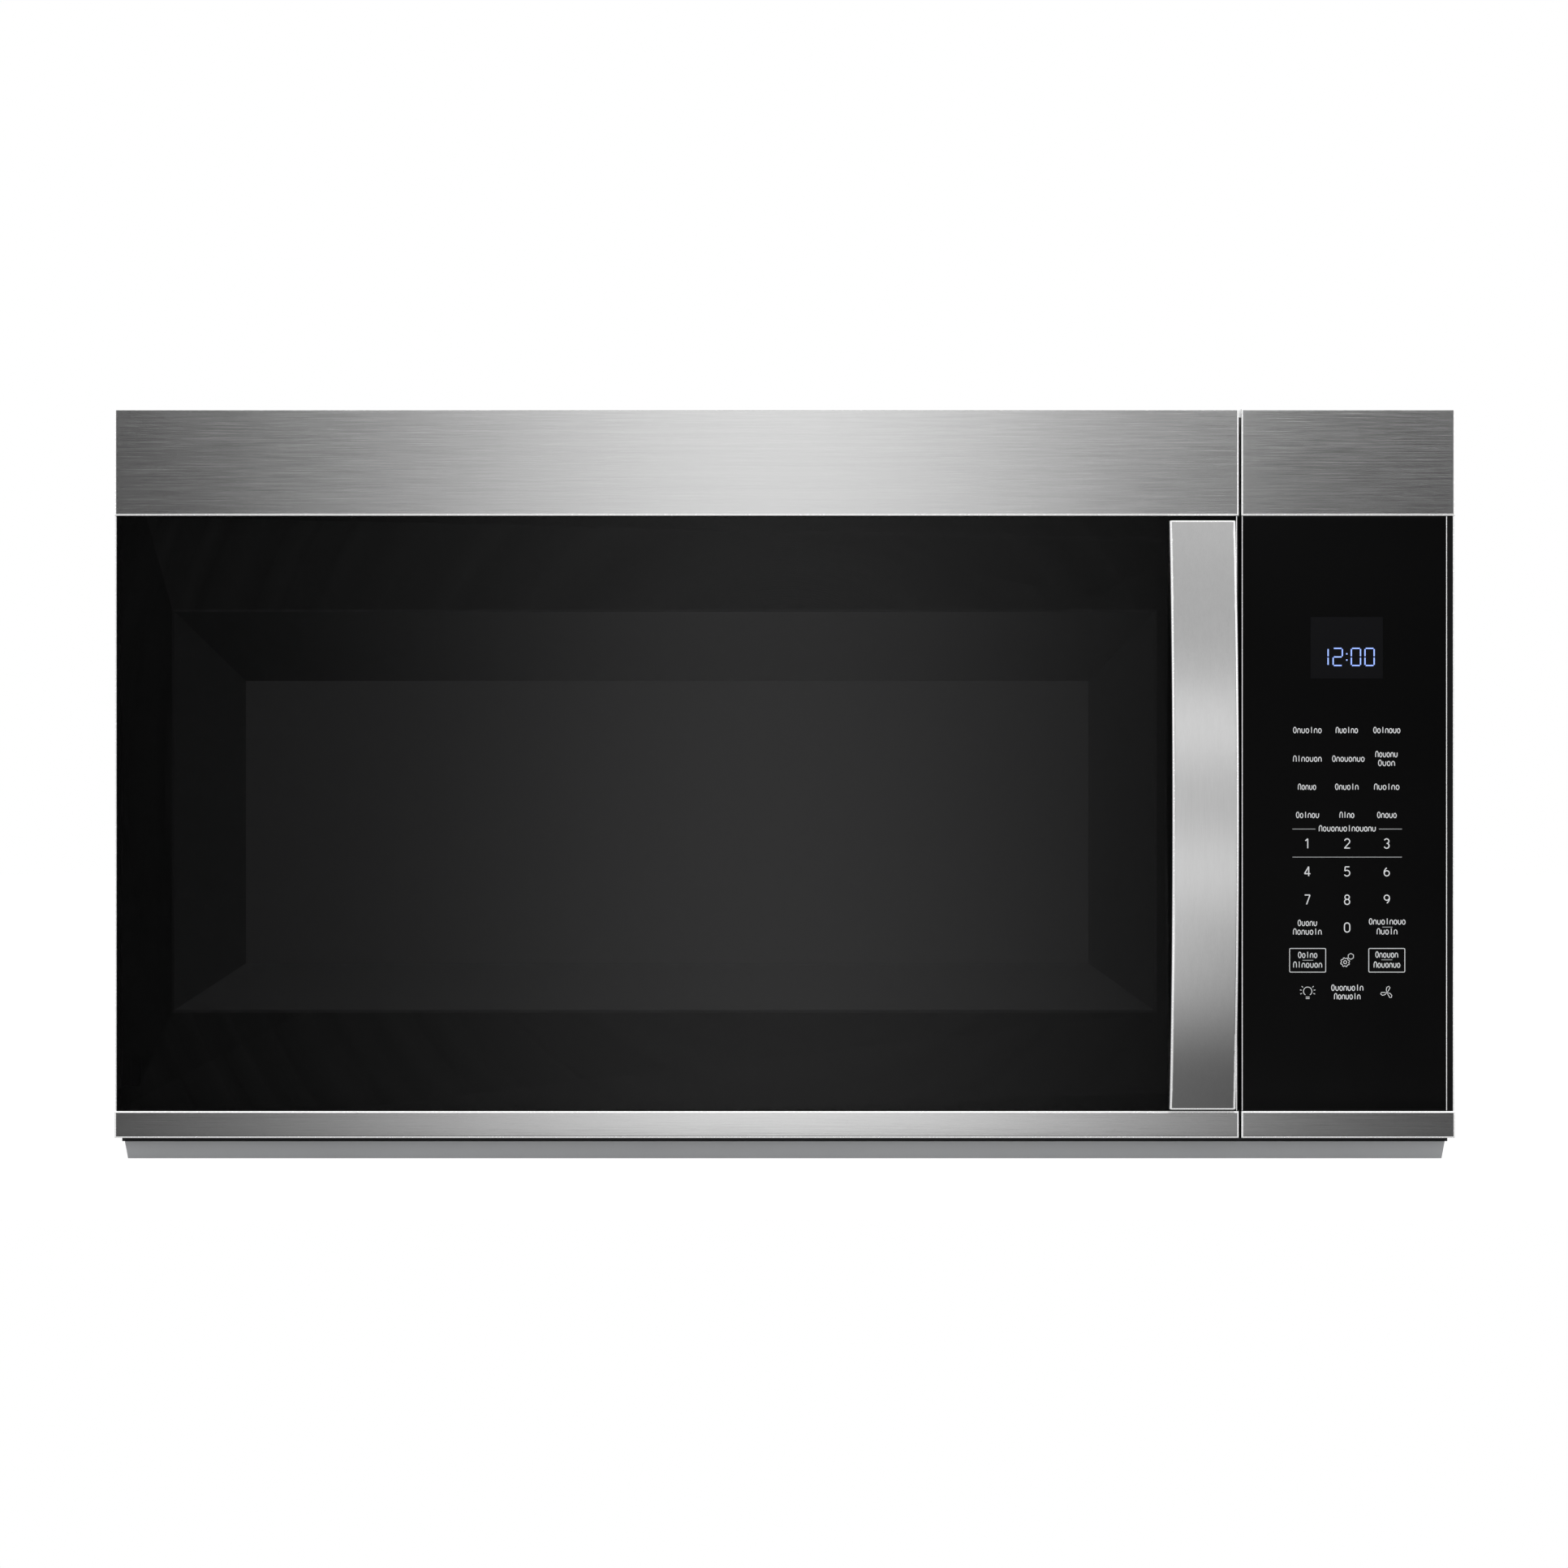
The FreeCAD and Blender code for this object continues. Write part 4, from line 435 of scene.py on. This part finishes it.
def digit(sign, x, z, height):
    """The strokes of a digit, centred on a place."""
    corner = np.array([x - 0.3 * height, z - 0.5 * height])
    return [np.asarray(stroke) * height + corner for stroke in DIGIT_STROKES[sign]]


# The number pad's columns and rows in the photograph.
COLUMNS = [photo_x(px) for px in (1610.8, 1659.8, 1708.7)]
NUMBER_ROWS = [photo_z(py) for py in (1039.3, 1073.7, 1108.4, 1142.8)]
DIGIT_HEIGHT = 0.0054


def polar(x, z, reach, degrees):
    """A place at a reach and an angle from another."""
    return (x + reach * math.cos(math.radians(degrees)), z + reach * math.sin(math.radians(degrees)))


def rounded_box(x, z, width, height, corner):
    """A closed outline: four quarter circles joined by straight sides."""
    path = []
    for turn, (side, rise) in zip((0, 90, 180, 270), ((1, 1), (-1, 1), (-1, -1), (1, -1))):
        centre = (x + side * (width / 2 - corner), z + rise * (height / 2 - corner))
        path += [polar(*centre, corner, turn + step) for step in (0, 22.5, 45, 67.5, 90)]
    return path + [path[0]]


# The plain marks of a key line, in turn, and their sizes: a mark fills its share of the pitch.
MARKS = ("ring", "arch", "cup", "ring", "stem", "arch", "ring", "cup")
MARK_PITCH = 0.0023
MARK_HEIGHT = 0.0025
MARK_SHARE = 0.68
STEM_RISE = 1.35
FIRST_RISE = 1.3


def plain_mark(kind, left, low, width, height):
    """One plain mark of a key line: a ring, an arch, a cup or a stem."""
    middle, half = left + width / 2, width / 2
    turn = np.radians(np.linspace(0, 180, 12))
    if kind == "ring":
        full = np.radians(np.linspace(0, 360, 22))
        return np.stack([middle + half * np.cos(full), low + height / 2 * (1 + np.sin(full))], axis=1)
    if kind == "stem":
        return [(middle, low), (middle, low + STEM_RISE * height)]
    sign = 1 if kind == "arch" else -1
    centre = low + height / 2
    bow = np.stack([middle + half * np.cos(turn), centre + sign * height / 2 * np.sin(turn)], axis=1)
    foot = centre - sign * height / 2
    return [(left + width, foot), *bow.tolist(), (left, foot)]


def key_line(x, z, pixels, turn):
    """A line of plain marks, as wide as so many pixels of the photograph and centred on a place."""
    width = pixels * PHOTO_SCALE
    count = max(2, round(width / MARK_PITCH))
    pitch = width / count
    strokes = []
    for index in range(count):
        height = MARK_HEIGHT * (1 if index else FIRST_RISE)
        kind = MARKS[(index + turn) % len(MARKS)] if index else "arch" if turn % 2 else "ring"
        left = x - width / 2 + (index + (1 - MARK_SHARE) / 2) * pitch
        strokes.append(plain_mark(kind, left, z - MARK_HEIGHT / 2, MARK_SHARE * pitch, height))
    return strokes


# The key lines: column and row of the photograph, and width in its pixels.
KEY_LINES = (
    (1610.8, 900.4, 36), (1659.4, 900.4, 28), (1708.7, 900.4, 34), (1610.8, 935.6, 36), (1661.3, 935.6, 40.6),
    (1708.2, 930, 28), (1708.4, 940.8, 21.6), (1610.4, 970.2, 23), (1659.4, 970.2, 29.6), (1708.6, 970.2, 32),
    (1611, 1004.9, 29), (1659.5, 1004.9, 18.8), (1708.8, 1004.9, 24.8), (1660, 1021.5, 70.8),
    (1610.8, 1138, 24.4), (1610.8, 1148.7, 36), (1709.2, 1136.2, 45.8), (1709, 1148.4, 26.2),
    (1611.2, 1177.4, 24.4), (1611.2, 1189.4, 36.4), (1708.6, 1177, 28.6), (1708.9, 1189.4, 33.4),
    (1660, 1217.8, 40.2), (1660, 1228.4, 33.2),
)
# The thin rules: left end, right end and row.
RULES = (
    (1592.4, 1620.6, 1021.5), (1699, 1727.3, 1021.5), (1592.4, 1727.3, 1056.1),
    (1703.2, 1715.6, 1142.4), (1604.8, 1618, 1183.2), (1702, 1715.4, 1182.6),
)

# The two outlined keys: columns and row, and their width, height and corner in metres.
OUTLINE_COLUMNS = (1611.2, 1708.7)
OUTLINE_ROW = 1183.2
OUTLINE_SIZE = (0.0204, 0.0134, 0.0006)

# The signs: column, row and reach in metres.
GEAR = (1657.4, 1185.6, 0.0026)
NUT = (1664.4, 1178.4, 0.0017)
BULB = (1611.2, 1221.4, 0.0024)
FAN = (1709, 1223, 0.0037)
TOOTH_TURN = 11.25
BLADE = ((0, 0), (0.35, 0.3), (0.75, 0.36), (1.0, 0.12), (0.86, -0.1), (0.4, -0.06), (0, 0))


def signs():
    """A gear beside a small six-sided nut, a lamp bulb with rays, and a fan of three blades."""
    (gear_x, gear_z, gear), (nut_x, nut_z, nut), (x, z, bulb), (fan_x, fan_z, fan) = [
        (photo_x(column), photo_z(row), reach) for column, row, reach in (GEAR, NUT, BULB, FAN)]
    teeth = [polar(gear_x, gear_z, gear * (1 if step % 4 in (1, 2) else 0.8), step * TOOTH_TURN)
             for step in range(33)]
    strokes = [teeth, arc(gear_x, gear_z, 0.34 * gear, steps=14),
               [polar(nut_x, nut_z, nut, step * 60 + 30) for step in range(7)], arc(x, z, bulb, -58, 238, 26)]
    for rise in (1.35, 1.7):
        strokes.append([(x - 0.45 * bulb, z - rise * bulb), (x + 0.45 * bulb, z - rise * bulb)])
    for angle in (-20, 10, 40, 140, 170, 200):
        strokes.append([polar(x, z, 1.45 * bulb, angle), polar(x, z, 1.85 * bulb, angle)])
    for turn in (65, 185, 305):
        cos, sin = math.cos(math.radians(turn)), math.sin(math.radians(turn))
        strokes.append([(fan_x + fan * (a * cos - b * sin), fan_z + fan * (a * sin + b * cos)) for a, b in BLADE])
    return strokes


def print_keys():
    """Lines of plain marks, a number pad, two outlined keys and the light, gear and fan signs."""
    strokes = []
    for turn, (column, row, pixels) in enumerate(KEY_LINES):
        strokes += key_line(photo_x(column), photo_z(row), pixels, turn)
    flat_piece("key_words", strokes, LINE_STROKE, INK)
    digits = []
    for row, line in zip(NUMBER_ROWS[:3], ("123", "456", "789")):
        for x, sign in zip(COLUMNS, line):
            digits += digit(sign, x, row, DIGIT_HEIGHT)
    digits += digit("0", COLUMNS[1], NUMBER_ROWS[3], DIGIT_HEIGHT)
    flat_piece("key_numbers", digits, NUMBER_STROKE, INK)
    rules = [[(photo_x(left), photo_z(row)), (photo_x(right), photo_z(row))] for left, right, row in RULES]
    flat_piece("key_rules", rules, RULE_STROKE, INK_DIM)
    boxes = [rounded_box(photo_x(column), photo_z(OUTLINE_ROW), *OUTLINE_SIZE) for column in OUTLINE_COLUMNS]
    flat_piece("key_outlines", boxes + signs(), SIGN_STROKE, INK)


SEGMENT_CODES = {"0": "abcdef", "1": "bc", "2": "abged"}
SEGMENT_GAP = 0.0004
SEGMENT_STROKE = 0.0007
FIGURE_HEIGHT = 0.0097
FIGURE_WIDTH = 0.0052
# The figures' foot, their columns, the colon's column and rises, and the window's edges in the photograph.
FIGURE_ROW = 820
FIGURE_COLUMNS = (1636.4, 1642.6, 1665, 1681.8)
COLON_COLUMN = 1659.4
COLON_RISES = (0.32, 0.68)
WINDOW_COLUMNS = (1614.8, 1703.8)
WINDOW_ROWS = (760.2, 836.1)
WINDOW_LIFT = 0.4 * PRINT_LIFT


def lit_digit(sign, left, low):
    """The lit bars of one seven-bar figure."""
    gap, middle, top, right = SEGMENT_GAP, low + FIGURE_HEIGHT / 2, low + FIGURE_HEIGHT, left + FIGURE_WIDTH
    bars = {
        "a": [(left + gap, top), (right - gap, top)], "b": [(right, top - gap), (right, middle + gap)],
        "c": [(right, middle - gap), (right, low + gap)], "d": [(left + gap, low), (right - gap, low)],
        "e": [(left, middle - gap), (left, low + gap)], "f": [(left, top - gap), (left, middle + gap)],
        "g": [(left + gap, middle), (right - gap, middle)],
    }
    return [bars[bar] for bar in SEGMENT_CODES[sign]]


def light_display():
    """A plain clock reading in lit bars, on a faintly blue window. The first figure's column is its right edge."""
    low = photo_z(FIGURE_ROW)
    bars = []
    for index, (sign, column) in enumerate(zip("1200", FIGURE_COLUMNS)):
        bars += lit_digit(sign, photo_x(column) - (0 if index else FIGURE_WIDTH), low)
    colon = photo_x(COLON_COLUMN)
    for rise in COLON_RISES:
        level = low + rise * FIGURE_HEIGHT
        bars.append([(colon - SEGMENT_GAP, level), (colon + SEGMENT_GAP, level)])
    flat_piece("display_figures", bars, SEGMENT_STROKE, SEGMENT)
    left, right = [photo_x(column) for column in WINDOW_COLUMNS]
    high, foot = [photo_z(row) for row in WINDOW_ROWS]
    middle = (high + foot) / 2
    shade = dark_glass("display_tint", (0.0105, 0.0106, 0.0118), rough=0.06, shine=0.16)
    flat_piece("display_tint", [[(left, middle), (right, middle)]], high - foot, shade, WINDOW_LIFT)


print_keys()
light_display()


# --- Edges with a painted glint ------------------------------------------------------------------------------------

# A painted highlight: the glow of these strips stands in for the bright lines of light on the real edges.
GLINT_GLOW = glowing_glint("painted_glint_edge", (0.92, 0.92, 0.92), 0.5)
# Where the rows of a glint lie on a rounded edge, in degrees from its front to its side.
EDGE_TURNS = (70, 52, 34, 16)
COVER_ROUND = 0.0012
HANDLE_ROUND = 0.0016
HANDLE_END = 0.01
HANDLE_STEPS = 60
HANDLE_CORNER = (0.8, 0.6, 0.4, 0.2, 0)
HANDLE_TRIM, HANDLE_TRIM_STEP = 0.00005, 0.00025
GLINT_LIFT = 0.00004
GLINT_WALL = 0.00003
GLINT_STRIP_WIDTH = 0.0008
GLINT_STRIP_DEPTH = 0.003
GLASS_GLINT_WIDTH = 0.0004


def edge_glint(name, loops, body):
    """A narrow band with a painted glint on a rounded edge: rows of quads between closed loops, from the outermost
    inwards.
    """
    count = len(loops[0])
    first = np.arange(count)
    following = np.roll(first, -1)
    row_faces = np.stack([first, following, following + count, first + count], axis=1)
    faces = np.concatenate([row_faces + row * count for row in range(len(loops) - 1)])
    mesh = bpy.data.meshes.new(name)
    mesh.from_pydata(np.concatenate(loops).tolist(), [], faces.tolist())
    shown_piece(name, mesh, GLINT_GLOW, body).modifiers.new("wall", "SOLIDIFY").thickness = GLINT_WALL


def round_place(radius, degrees):
    """Inset and depth of a place on a rounded edge, a hair outside it."""
    reach = radius + GLINT_LIFT
    turn = math.radians(degrees)
    return radius - reach * math.sin(turn), radius - reach * math.cos(turn)


def edge_cover(node, body):
    """Painted glints all round the front of a folded steel cover."""
    (left, front, low), (right, _, high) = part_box(node)
    loops = []
    for degrees in EDGE_TURNS:
        inset, depth = round_place(COVER_ROUND, degrees)
        loops.append(np.array([(x, front + depth, z) for x, z in (
            (left + inset, low + inset), (right - inset, low + inset),
            (right - inset, high - inset), (left + inset, high - inset))]))
    edge_glint(node + "_edge", loops, body)


def edge_handle():
    """Painted glints round the bowed front of the handle, whose side view is an arc through its two ends and its
    middle: each place is sunk along the arc's own normal by its depth on the rounded edge."""
    (left, front, low), (right, back, high) = HANDLE
    middle, half, bow = (low + high) / 2, (high - low) / 2, back - HANDLE_END - front
    radius = (half * half + bow * bow) / (2 * bow)

    def place(x, z, depth):
        level = (z - middle) / radius
        reach = radius - depth
        return x, front + radius - reach * math.sqrt(1 - level * level), middle + reach * level

    loops = []
    for index, degrees in enumerate(EDGE_TURNS):
        inset, depth = round_place(HANDLE_ROUND, degrees)
        trim = HANDLE_TRIM + HANDLE_TRIM_STEP * index
        levels = np.linspace(low + trim, high - trim, HANDLE_STEPS)
        over = [round_place(HANDLE_ROUND, degrees * share) for share in HANDLE_CORNER]
        loop = [place(right - inset, z, depth) for z in levels]
        loop += [place(right - aside, high - trim, sunk) for aside, sunk in over]
        loop += [place(left + aside, high - trim, sunk) for aside, sunk in reversed(over)]
        loop += [place(left + inset, z, depth) for z in reversed(levels)]
        loop += [place(left + aside, low + trim, sunk) for aside, sunk in over]
        loop += [place(right - aside, low + trim, sunk) for aside, sunk in reversed(over)]
        loops.append(np.array(loop))
    edge_glint("handle_glint_edge", loops, "door")


def edge_strip(name, left, width, near, far, body):
    """A thin upright box as high as the door glass, glowing with the painted glint."""
    low, high = DOOR_GLASS[0][2], DOOR_GLASS[1][2]
    corners = [(x, y, z) for x in (left, left + width) for y in (near, far) for z in (low, high)]
    sides = [(0, 1, 3, 2), (4, 6, 7, 5), (0, 4, 5, 1), (2, 3, 7, 6), (0, 2, 6, 4), (1, 5, 7, 3)]
    mesh = bpy.data.meshes.new(name)
    mesh.from_pydata(corners, [], sides)
    shown_piece(name, mesh, GLINT_GLOW, body)


for covered, rides in (("door_top_band", "door"), ("door_bottom_bar", "door"),
                       ("control_top_band", "chassis"), ("control_bottom_bar", "chassis")):
    edge_cover(covered, rides)
edge_handle()

PANEL_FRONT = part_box("control_panel_frame")[0][1]
OUTER_LEFT, OUTER_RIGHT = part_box("door_top_band")[0][0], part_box("control_top_band")[1][0]
# Glowing strips with the painted glint: at the outer sides of the door and panel, and along the edges of the glass.
for name, left, body in (("control_edge_glint", OUTER_RIGHT - GLINT_STRIP_WIDTH, "chassis"),
                         ("door_edge_glint", OUTER_LEFT, "door")):
    edge_strip(name, left, GLINT_STRIP_WIDTH, PANEL_FRONT, PANEL_FRONT + GLINT_STRIP_DEPTH, body)
for name, left, slot, body in (
    ("door_glass_glint_edge", DOOR_GLASS[1][0] - GLASS_GLINT_WIDTH, "black_glass", "door"),
    ("control_glass_left_glint_edge", CONTROL_GLASS[0][0], "control_black", "chassis"),
    ("control_glass_right_glint_edge", CONTROL_GLASS[1][0] - GLASS_GLINT_WIDTH, "control_black", "chassis"),
):
    edge_strip(name, left, GLASS_GLINT_WIDTH, GLASS_FACE - GLINT_LIFT, GLASS_FACE, body)


# --- Latch spring ------------------------------------------------------------------------------------------------

SPRING_WIRE = 0.0004
SPRING_PITCH = 0.002
WIRE_SIDES = 8
STEPS_PER_TURN = 36


def latch_coil():
    """The latch spring as a many-sided wire swept along a helix of the CAD spring's own size: at each step a ring
    of points turns about the helix."""
    (left, front, low), (right, back, high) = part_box("latch_spring")
    reach = (right - left) / 2 - SPRING_WIRE
    turns = (high - low - 2 * SPRING_WIRE) / SPRING_PITCH
    turn = np.linspace(0, 2 * math.pi * turns, int(STEPS_PER_TURN * turns))[:, None]
    side = np.concatenate([np.cos(turn), np.sin(turn), 0 * turn], axis=1)
    centre = reach * side + (left + SPRING_WIRE + reach, front + SPRING_WIRE + reach, low + SPRING_WIRE)
    centre[:, 2] += SPRING_PITCH * turn[:, 0] / (2 * math.pi)
    along = np.gradient(centre, axis=0)
    along /= np.linalg.norm(along, axis=1, keepdims=True)
    rise = np.cross(along, side)
    around = np.linspace(0, 2 * math.pi, WIRE_SIDES, endpoint=False)[None, :, None]
    rings = centre[:, None] + SPRING_WIRE * (np.cos(around) * side[:, None] + np.sin(around) * rise[:, None])
    steps = len(centre)
    faces = [tuple(range(WIRE_SIDES))[::-1], tuple(range((steps - 1) * WIRE_SIDES, steps * WIRE_SIDES))]
    for step in range(steps - 1):
        for place in range(WIRE_SIDES):
            near, other = step * WIRE_SIDES + place, step * WIRE_SIDES + (place + 1) % WIRE_SIDES
            faces.append((near, other, other + WIRE_SIDES, near + WIRE_SIDES))
    mesh = bpy.data.meshes.new("latch_coil")
    mesh.from_pydata(rings.reshape(-1, 3).tolist(), [], faces)
    made = shown_piece("latch_coil", mesh, finishes["spring_steel"], "door")
    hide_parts("latch_spring")
    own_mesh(made)


latch_coil()


# --- Room ----------------------------------------------------------------------------------------------------------

# The brightness that reflections find in front of the oven: a bell's width and middle, and its least and greatest.
GLOW_WIDTH = 0.39
GLOW_CENTRE = -0.02
GLOW_LOW = 0.02
GLOW_HIGH = 1.3
CAMERA_REACH = 4.0
SENSOR_WIDTH = 36.0
# The floor's shares: white to the camera, its own grey, its painted glow in reflections under and before the oven.
FLOOR_WHITE = 0.92
FLOOR_GREY = 0.9
FLOOR_SEEN = 1.09
FLOOR_SPREAD = 1.5
FLOOR_DIM = 0.18
FLOOR_FADE_START, FLOOR_FADE = 0.1, 6
FLOOR_SIDE = 8.0
FLOOR_AHEAD = 0.55
FLOOR_BACK = 12.0
# The lit cards stand behind the photograph's camera: the wide one, and plain ones above and below the object.
CARD_REACH = 4.8
CARD_GAP = 0.05
FRONT_CARD_SIDE, FRONT_CARD_LOW, FRONT_CARD_HIGH = 1.6, -0.5, 2.4
PLAIN_CARD_LEFT, PLAIN_CARD_RIGHT = -0.75, 1.15
PLAIN_CARDS = (("high_card", 1.0, 1.6), ("low_card", -0.7, -0.24))
PLAIN_CARD_STRENGTH = 2.1
# The world: its colour and strengths as the dim room, and how much of the white reflections from ahead find.
ROOM_SHADE = 0.97
ROOM_STRENGTH = 0.07
SOFT_STRENGTH = 0.55
FRONT_SHARE = 0.45
BACK_RISE = 2.5
# Name, place, aim, width, height and power of each lamp.
LAMPS = (
    ("high_softbox", (0.1, -3.6, 3.4), (0, -0.3, 0.2), 1.8, 1.0, 1),
    ("top_softbox", (0.2, -0.9, 2.8), (0, -0.2, 0.2), 2.4, 1.6, 16),
    ("left_fill", (-3.0, -2.0, 1.4), (0, -0.3, 0.2), 1.4, 1.6, 5),
    ("right_fill", (3.0, -1.8, 1.6), (0, -0.3, 0.2), 1.4, 1.6, 6),
)


def glow(finish, across):
    """The brightness of the lit card behind the camera: a bell over the width, on a dim ground."""
    offset = across - GLOW_CENTRE
    bell = (offset * offset * (-1 / GLOW_WIDTH ** 2)).power_of(math.e)
    return finish.span(bell, GLOW_LOW, GLOW_HIGH)


def staged_sheet(name, corners, finish):
    """One flat sheet of the room."""
    mesh = bpy.data.meshes.new(name)
    mesh.from_pydata(corners, [], [(0, 1, 2, 3)])
    mesh.materials.append(finish.material)
    made = linked(name, mesh)
    return made


def lit_card(name, right, left, ahead, low, high, finish):
    """An upright card that lights the room and shows in reflections, but never stands in the camera's way."""
    corners = [(right, ahead, low), (left, ahead, low), (left, ahead, high), (right, ahead, high)]
    staged_sheet(name, corners, finish).visible_camera = False


def make_floor():
    """A pale floor that reads as white but keeps the object's shadow; in reflections it glows with a painted bell of
    light like the wide card's, and a painted shade under the object."""
    finish = Finish("pale_floor")
    path = finish.node("ShaderNodeLightPath", {}, {})
    glossy = Value(finish, path.socket.node.outputs["Is Glossy Ray"])
    clear = Value(finish, path.socket.node.outputs["Is Transmission Ray"])
    plain = finish.node("ShaderNodeBsdfDiffuse", {}, {"Color": (FLOOR_GREY, FLOOR_GREY, FLOOR_GREY, 1)})
    across = finish.node("ShaderNodeSeparateXYZ", {}, {0: finish.place})
    deep = Value(finish, across.socket.node.outputs["Y"])
    shaded = finish.node("ShaderNodeClamp", {}, {0: (deep * -1 + (GLASS_FACE - FLOOR_FADE_START)) * FLOOR_FADE})
    # Painted reflection: glossy rays see a bell of light across the floor and a painted shade near the object.
    mirrored = glossy * glow(finish, across * FLOOR_SPREAD + GLOW_CENTRE) * finish.span(shaded, FLOOR_DIM, 1.0)
    tone = finish.span(glossy, 1.0, 0.0) * FLOOR_SEEN + mirrored
    white = finish.node("ShaderNodeEmission", {}, {"Color": tone, "Strength": 1.0})
    seen = path + glossy + clear
    finish.surface(finish.node("ShaderNodeMixShader", {}, {0: seen * FLOOR_WHITE, 1: plain, 2: white}))
    side, front, back = FLOOR_SIDE, GLASS_FACE - FLOOR_AHEAD, FLOOR_BACK
    staged_sheet("studio_floor", [(-side, front, 0), (side, front, 0), (side, back, 0), (-side, back, 0)], finish)


def make_cards():
    """The wide card with its bell of light, and the two plain cards."""
    lit = Finish("lit_card")
    spread = lit.node("ShaderNodeSeparateXYZ", {}, {0: lit.place})
    lit.surface(lit.node("ShaderNodeEmission", {}, {"Color": glow(lit, spread), "Strength": 1.0}))
    far = GLASS_FACE - CARD_REACH
    lit_card("front_card", FRONT_CARD_SIDE, -FRONT_CARD_SIDE, far, FRONT_CARD_LOW, FRONT_CARD_HIGH, lit)
    pale = Finish("plain_card")
    pale.surface(pale.node("ShaderNodeEmission", {}, {"Color": (1, 1, 1, 1), "Strength": PLAIN_CARD_STRENGTH}))
    for name, low, high in PLAIN_CARDS:
        lit_card(name, PLAIN_CARD_RIGHT, PLAIN_CARD_LEFT, far + CARD_GAP, low, high, pale)


def make_world():
    """White behind the object and for the camera, and a dim room in front of it for reflections."""
    world = bpy.data.worlds.new("studio")
    bpy.context.scene.world = world
    world.use_nodes = True
    tree = world.node_tree
    tree.nodes.clear()

    def sum_of(operation, first, second):
        """A sum kept between 0 and 1."""
        made = tree.nodes.new("ShaderNodeMath")
        made.operation = operation
        made.use_clamp = True
        for slot, value in enumerate((first, second)):
            if isinstance(value, float):
                made.inputs[slot].default_value = value
            else:
                tree.links.new(value, made.inputs[slot])
        return made.outputs[0]

    output = tree.nodes.new("ShaderNodeOutputWorld")
    path = tree.nodes.new("ShaderNodeLightPath").outputs
    way = tree.nodes.new("ShaderNodeTexCoord")
    parts = tree.nodes.new("ShaderNodeSeparateXYZ")
    tree.links.new(way.outputs["Generated"], parts.inputs[0])
    behind = sum_of("ADD", sum_of("MULTIPLY", parts.outputs["Y"], BACK_RISE), FRONT_SHARE)
    mirrored = sum_of("ADD", path["Is Glossy Ray"], path["Is Transmission Ray"])
    shown = sum_of("ADD", path["Is Camera Ray"], sum_of("MULTIPLY", mirrored, behind))
    room = tree.nodes.new("ShaderNodeBackground")
    room.inputs["Color"].default_value = (ROOM_SHADE, ROOM_SHADE, ROOM_SHADE, 1)
    soft = sum_of("MULTIPLY", path["Is Diffuse Ray"], SOFT_STRENGTH - ROOM_STRENGTH)
    tree.links.new(sum_of("ADD", soft, ROOM_STRENGTH), room.inputs["Strength"])
    white = tree.nodes.new("ShaderNodeBackground")
    white.inputs["Color"].default_value = (1, 1, 1, 1)
    white.inputs["Strength"].default_value = 1.0
    either = tree.nodes.new("ShaderNodeMixShader")
    tree.links.new(shown, either.inputs[0])
    tree.links.new(room.outputs[0], either.inputs[1])
    tree.links.new(white.outputs[0], either.inputs[2])
    tree.links.new(either.outputs[0], output.inputs["Surface"])


def make_lamp(name, place, aim, width, height, power):
    """A rectangular lamp at a place, turned to its aim."""
    lamp = bpy.data.lights.new(name, "AREA")
    lamp.shape = "RECTANGLE"
    lamp.size = width
    lamp.size_y = height
    lamp.energy = power
    made = linked(name, lamp)
    made.location = place
    made.rotation_euler = (Vector(aim) - Vector(place)).to_track_quat("-Z", "Y").to_euler()


def make_camera():
    """The photograph's own view: square to the front, from the middle of its frame."""
    camera = bpy.data.cameras.new("photo_camera")
    camera.sensor_width = SENSOR_WIDTH
    camera.lens = SENSOR_WIDTH * CAMERA_REACH / (PHOTO_SIZE * PHOTO_SCALE)
    made = linked("photo_camera", camera)
    made.location = (photo_x(PHOTO_SIZE / 2), GLASS_FACE - CAMERA_REACH, photo_z(PHOTO_SIZE / 2))
    made.rotation_euler = (math.pi / 2, 0, 0)
    bpy.context.scene.camera = made


make_floor()
make_cards()
make_world()
make_camera()
for lamp_values in LAMPS:
    make_lamp(*lamp_values)
bpy.context.scene.view_settings.view_transform = "Standard"
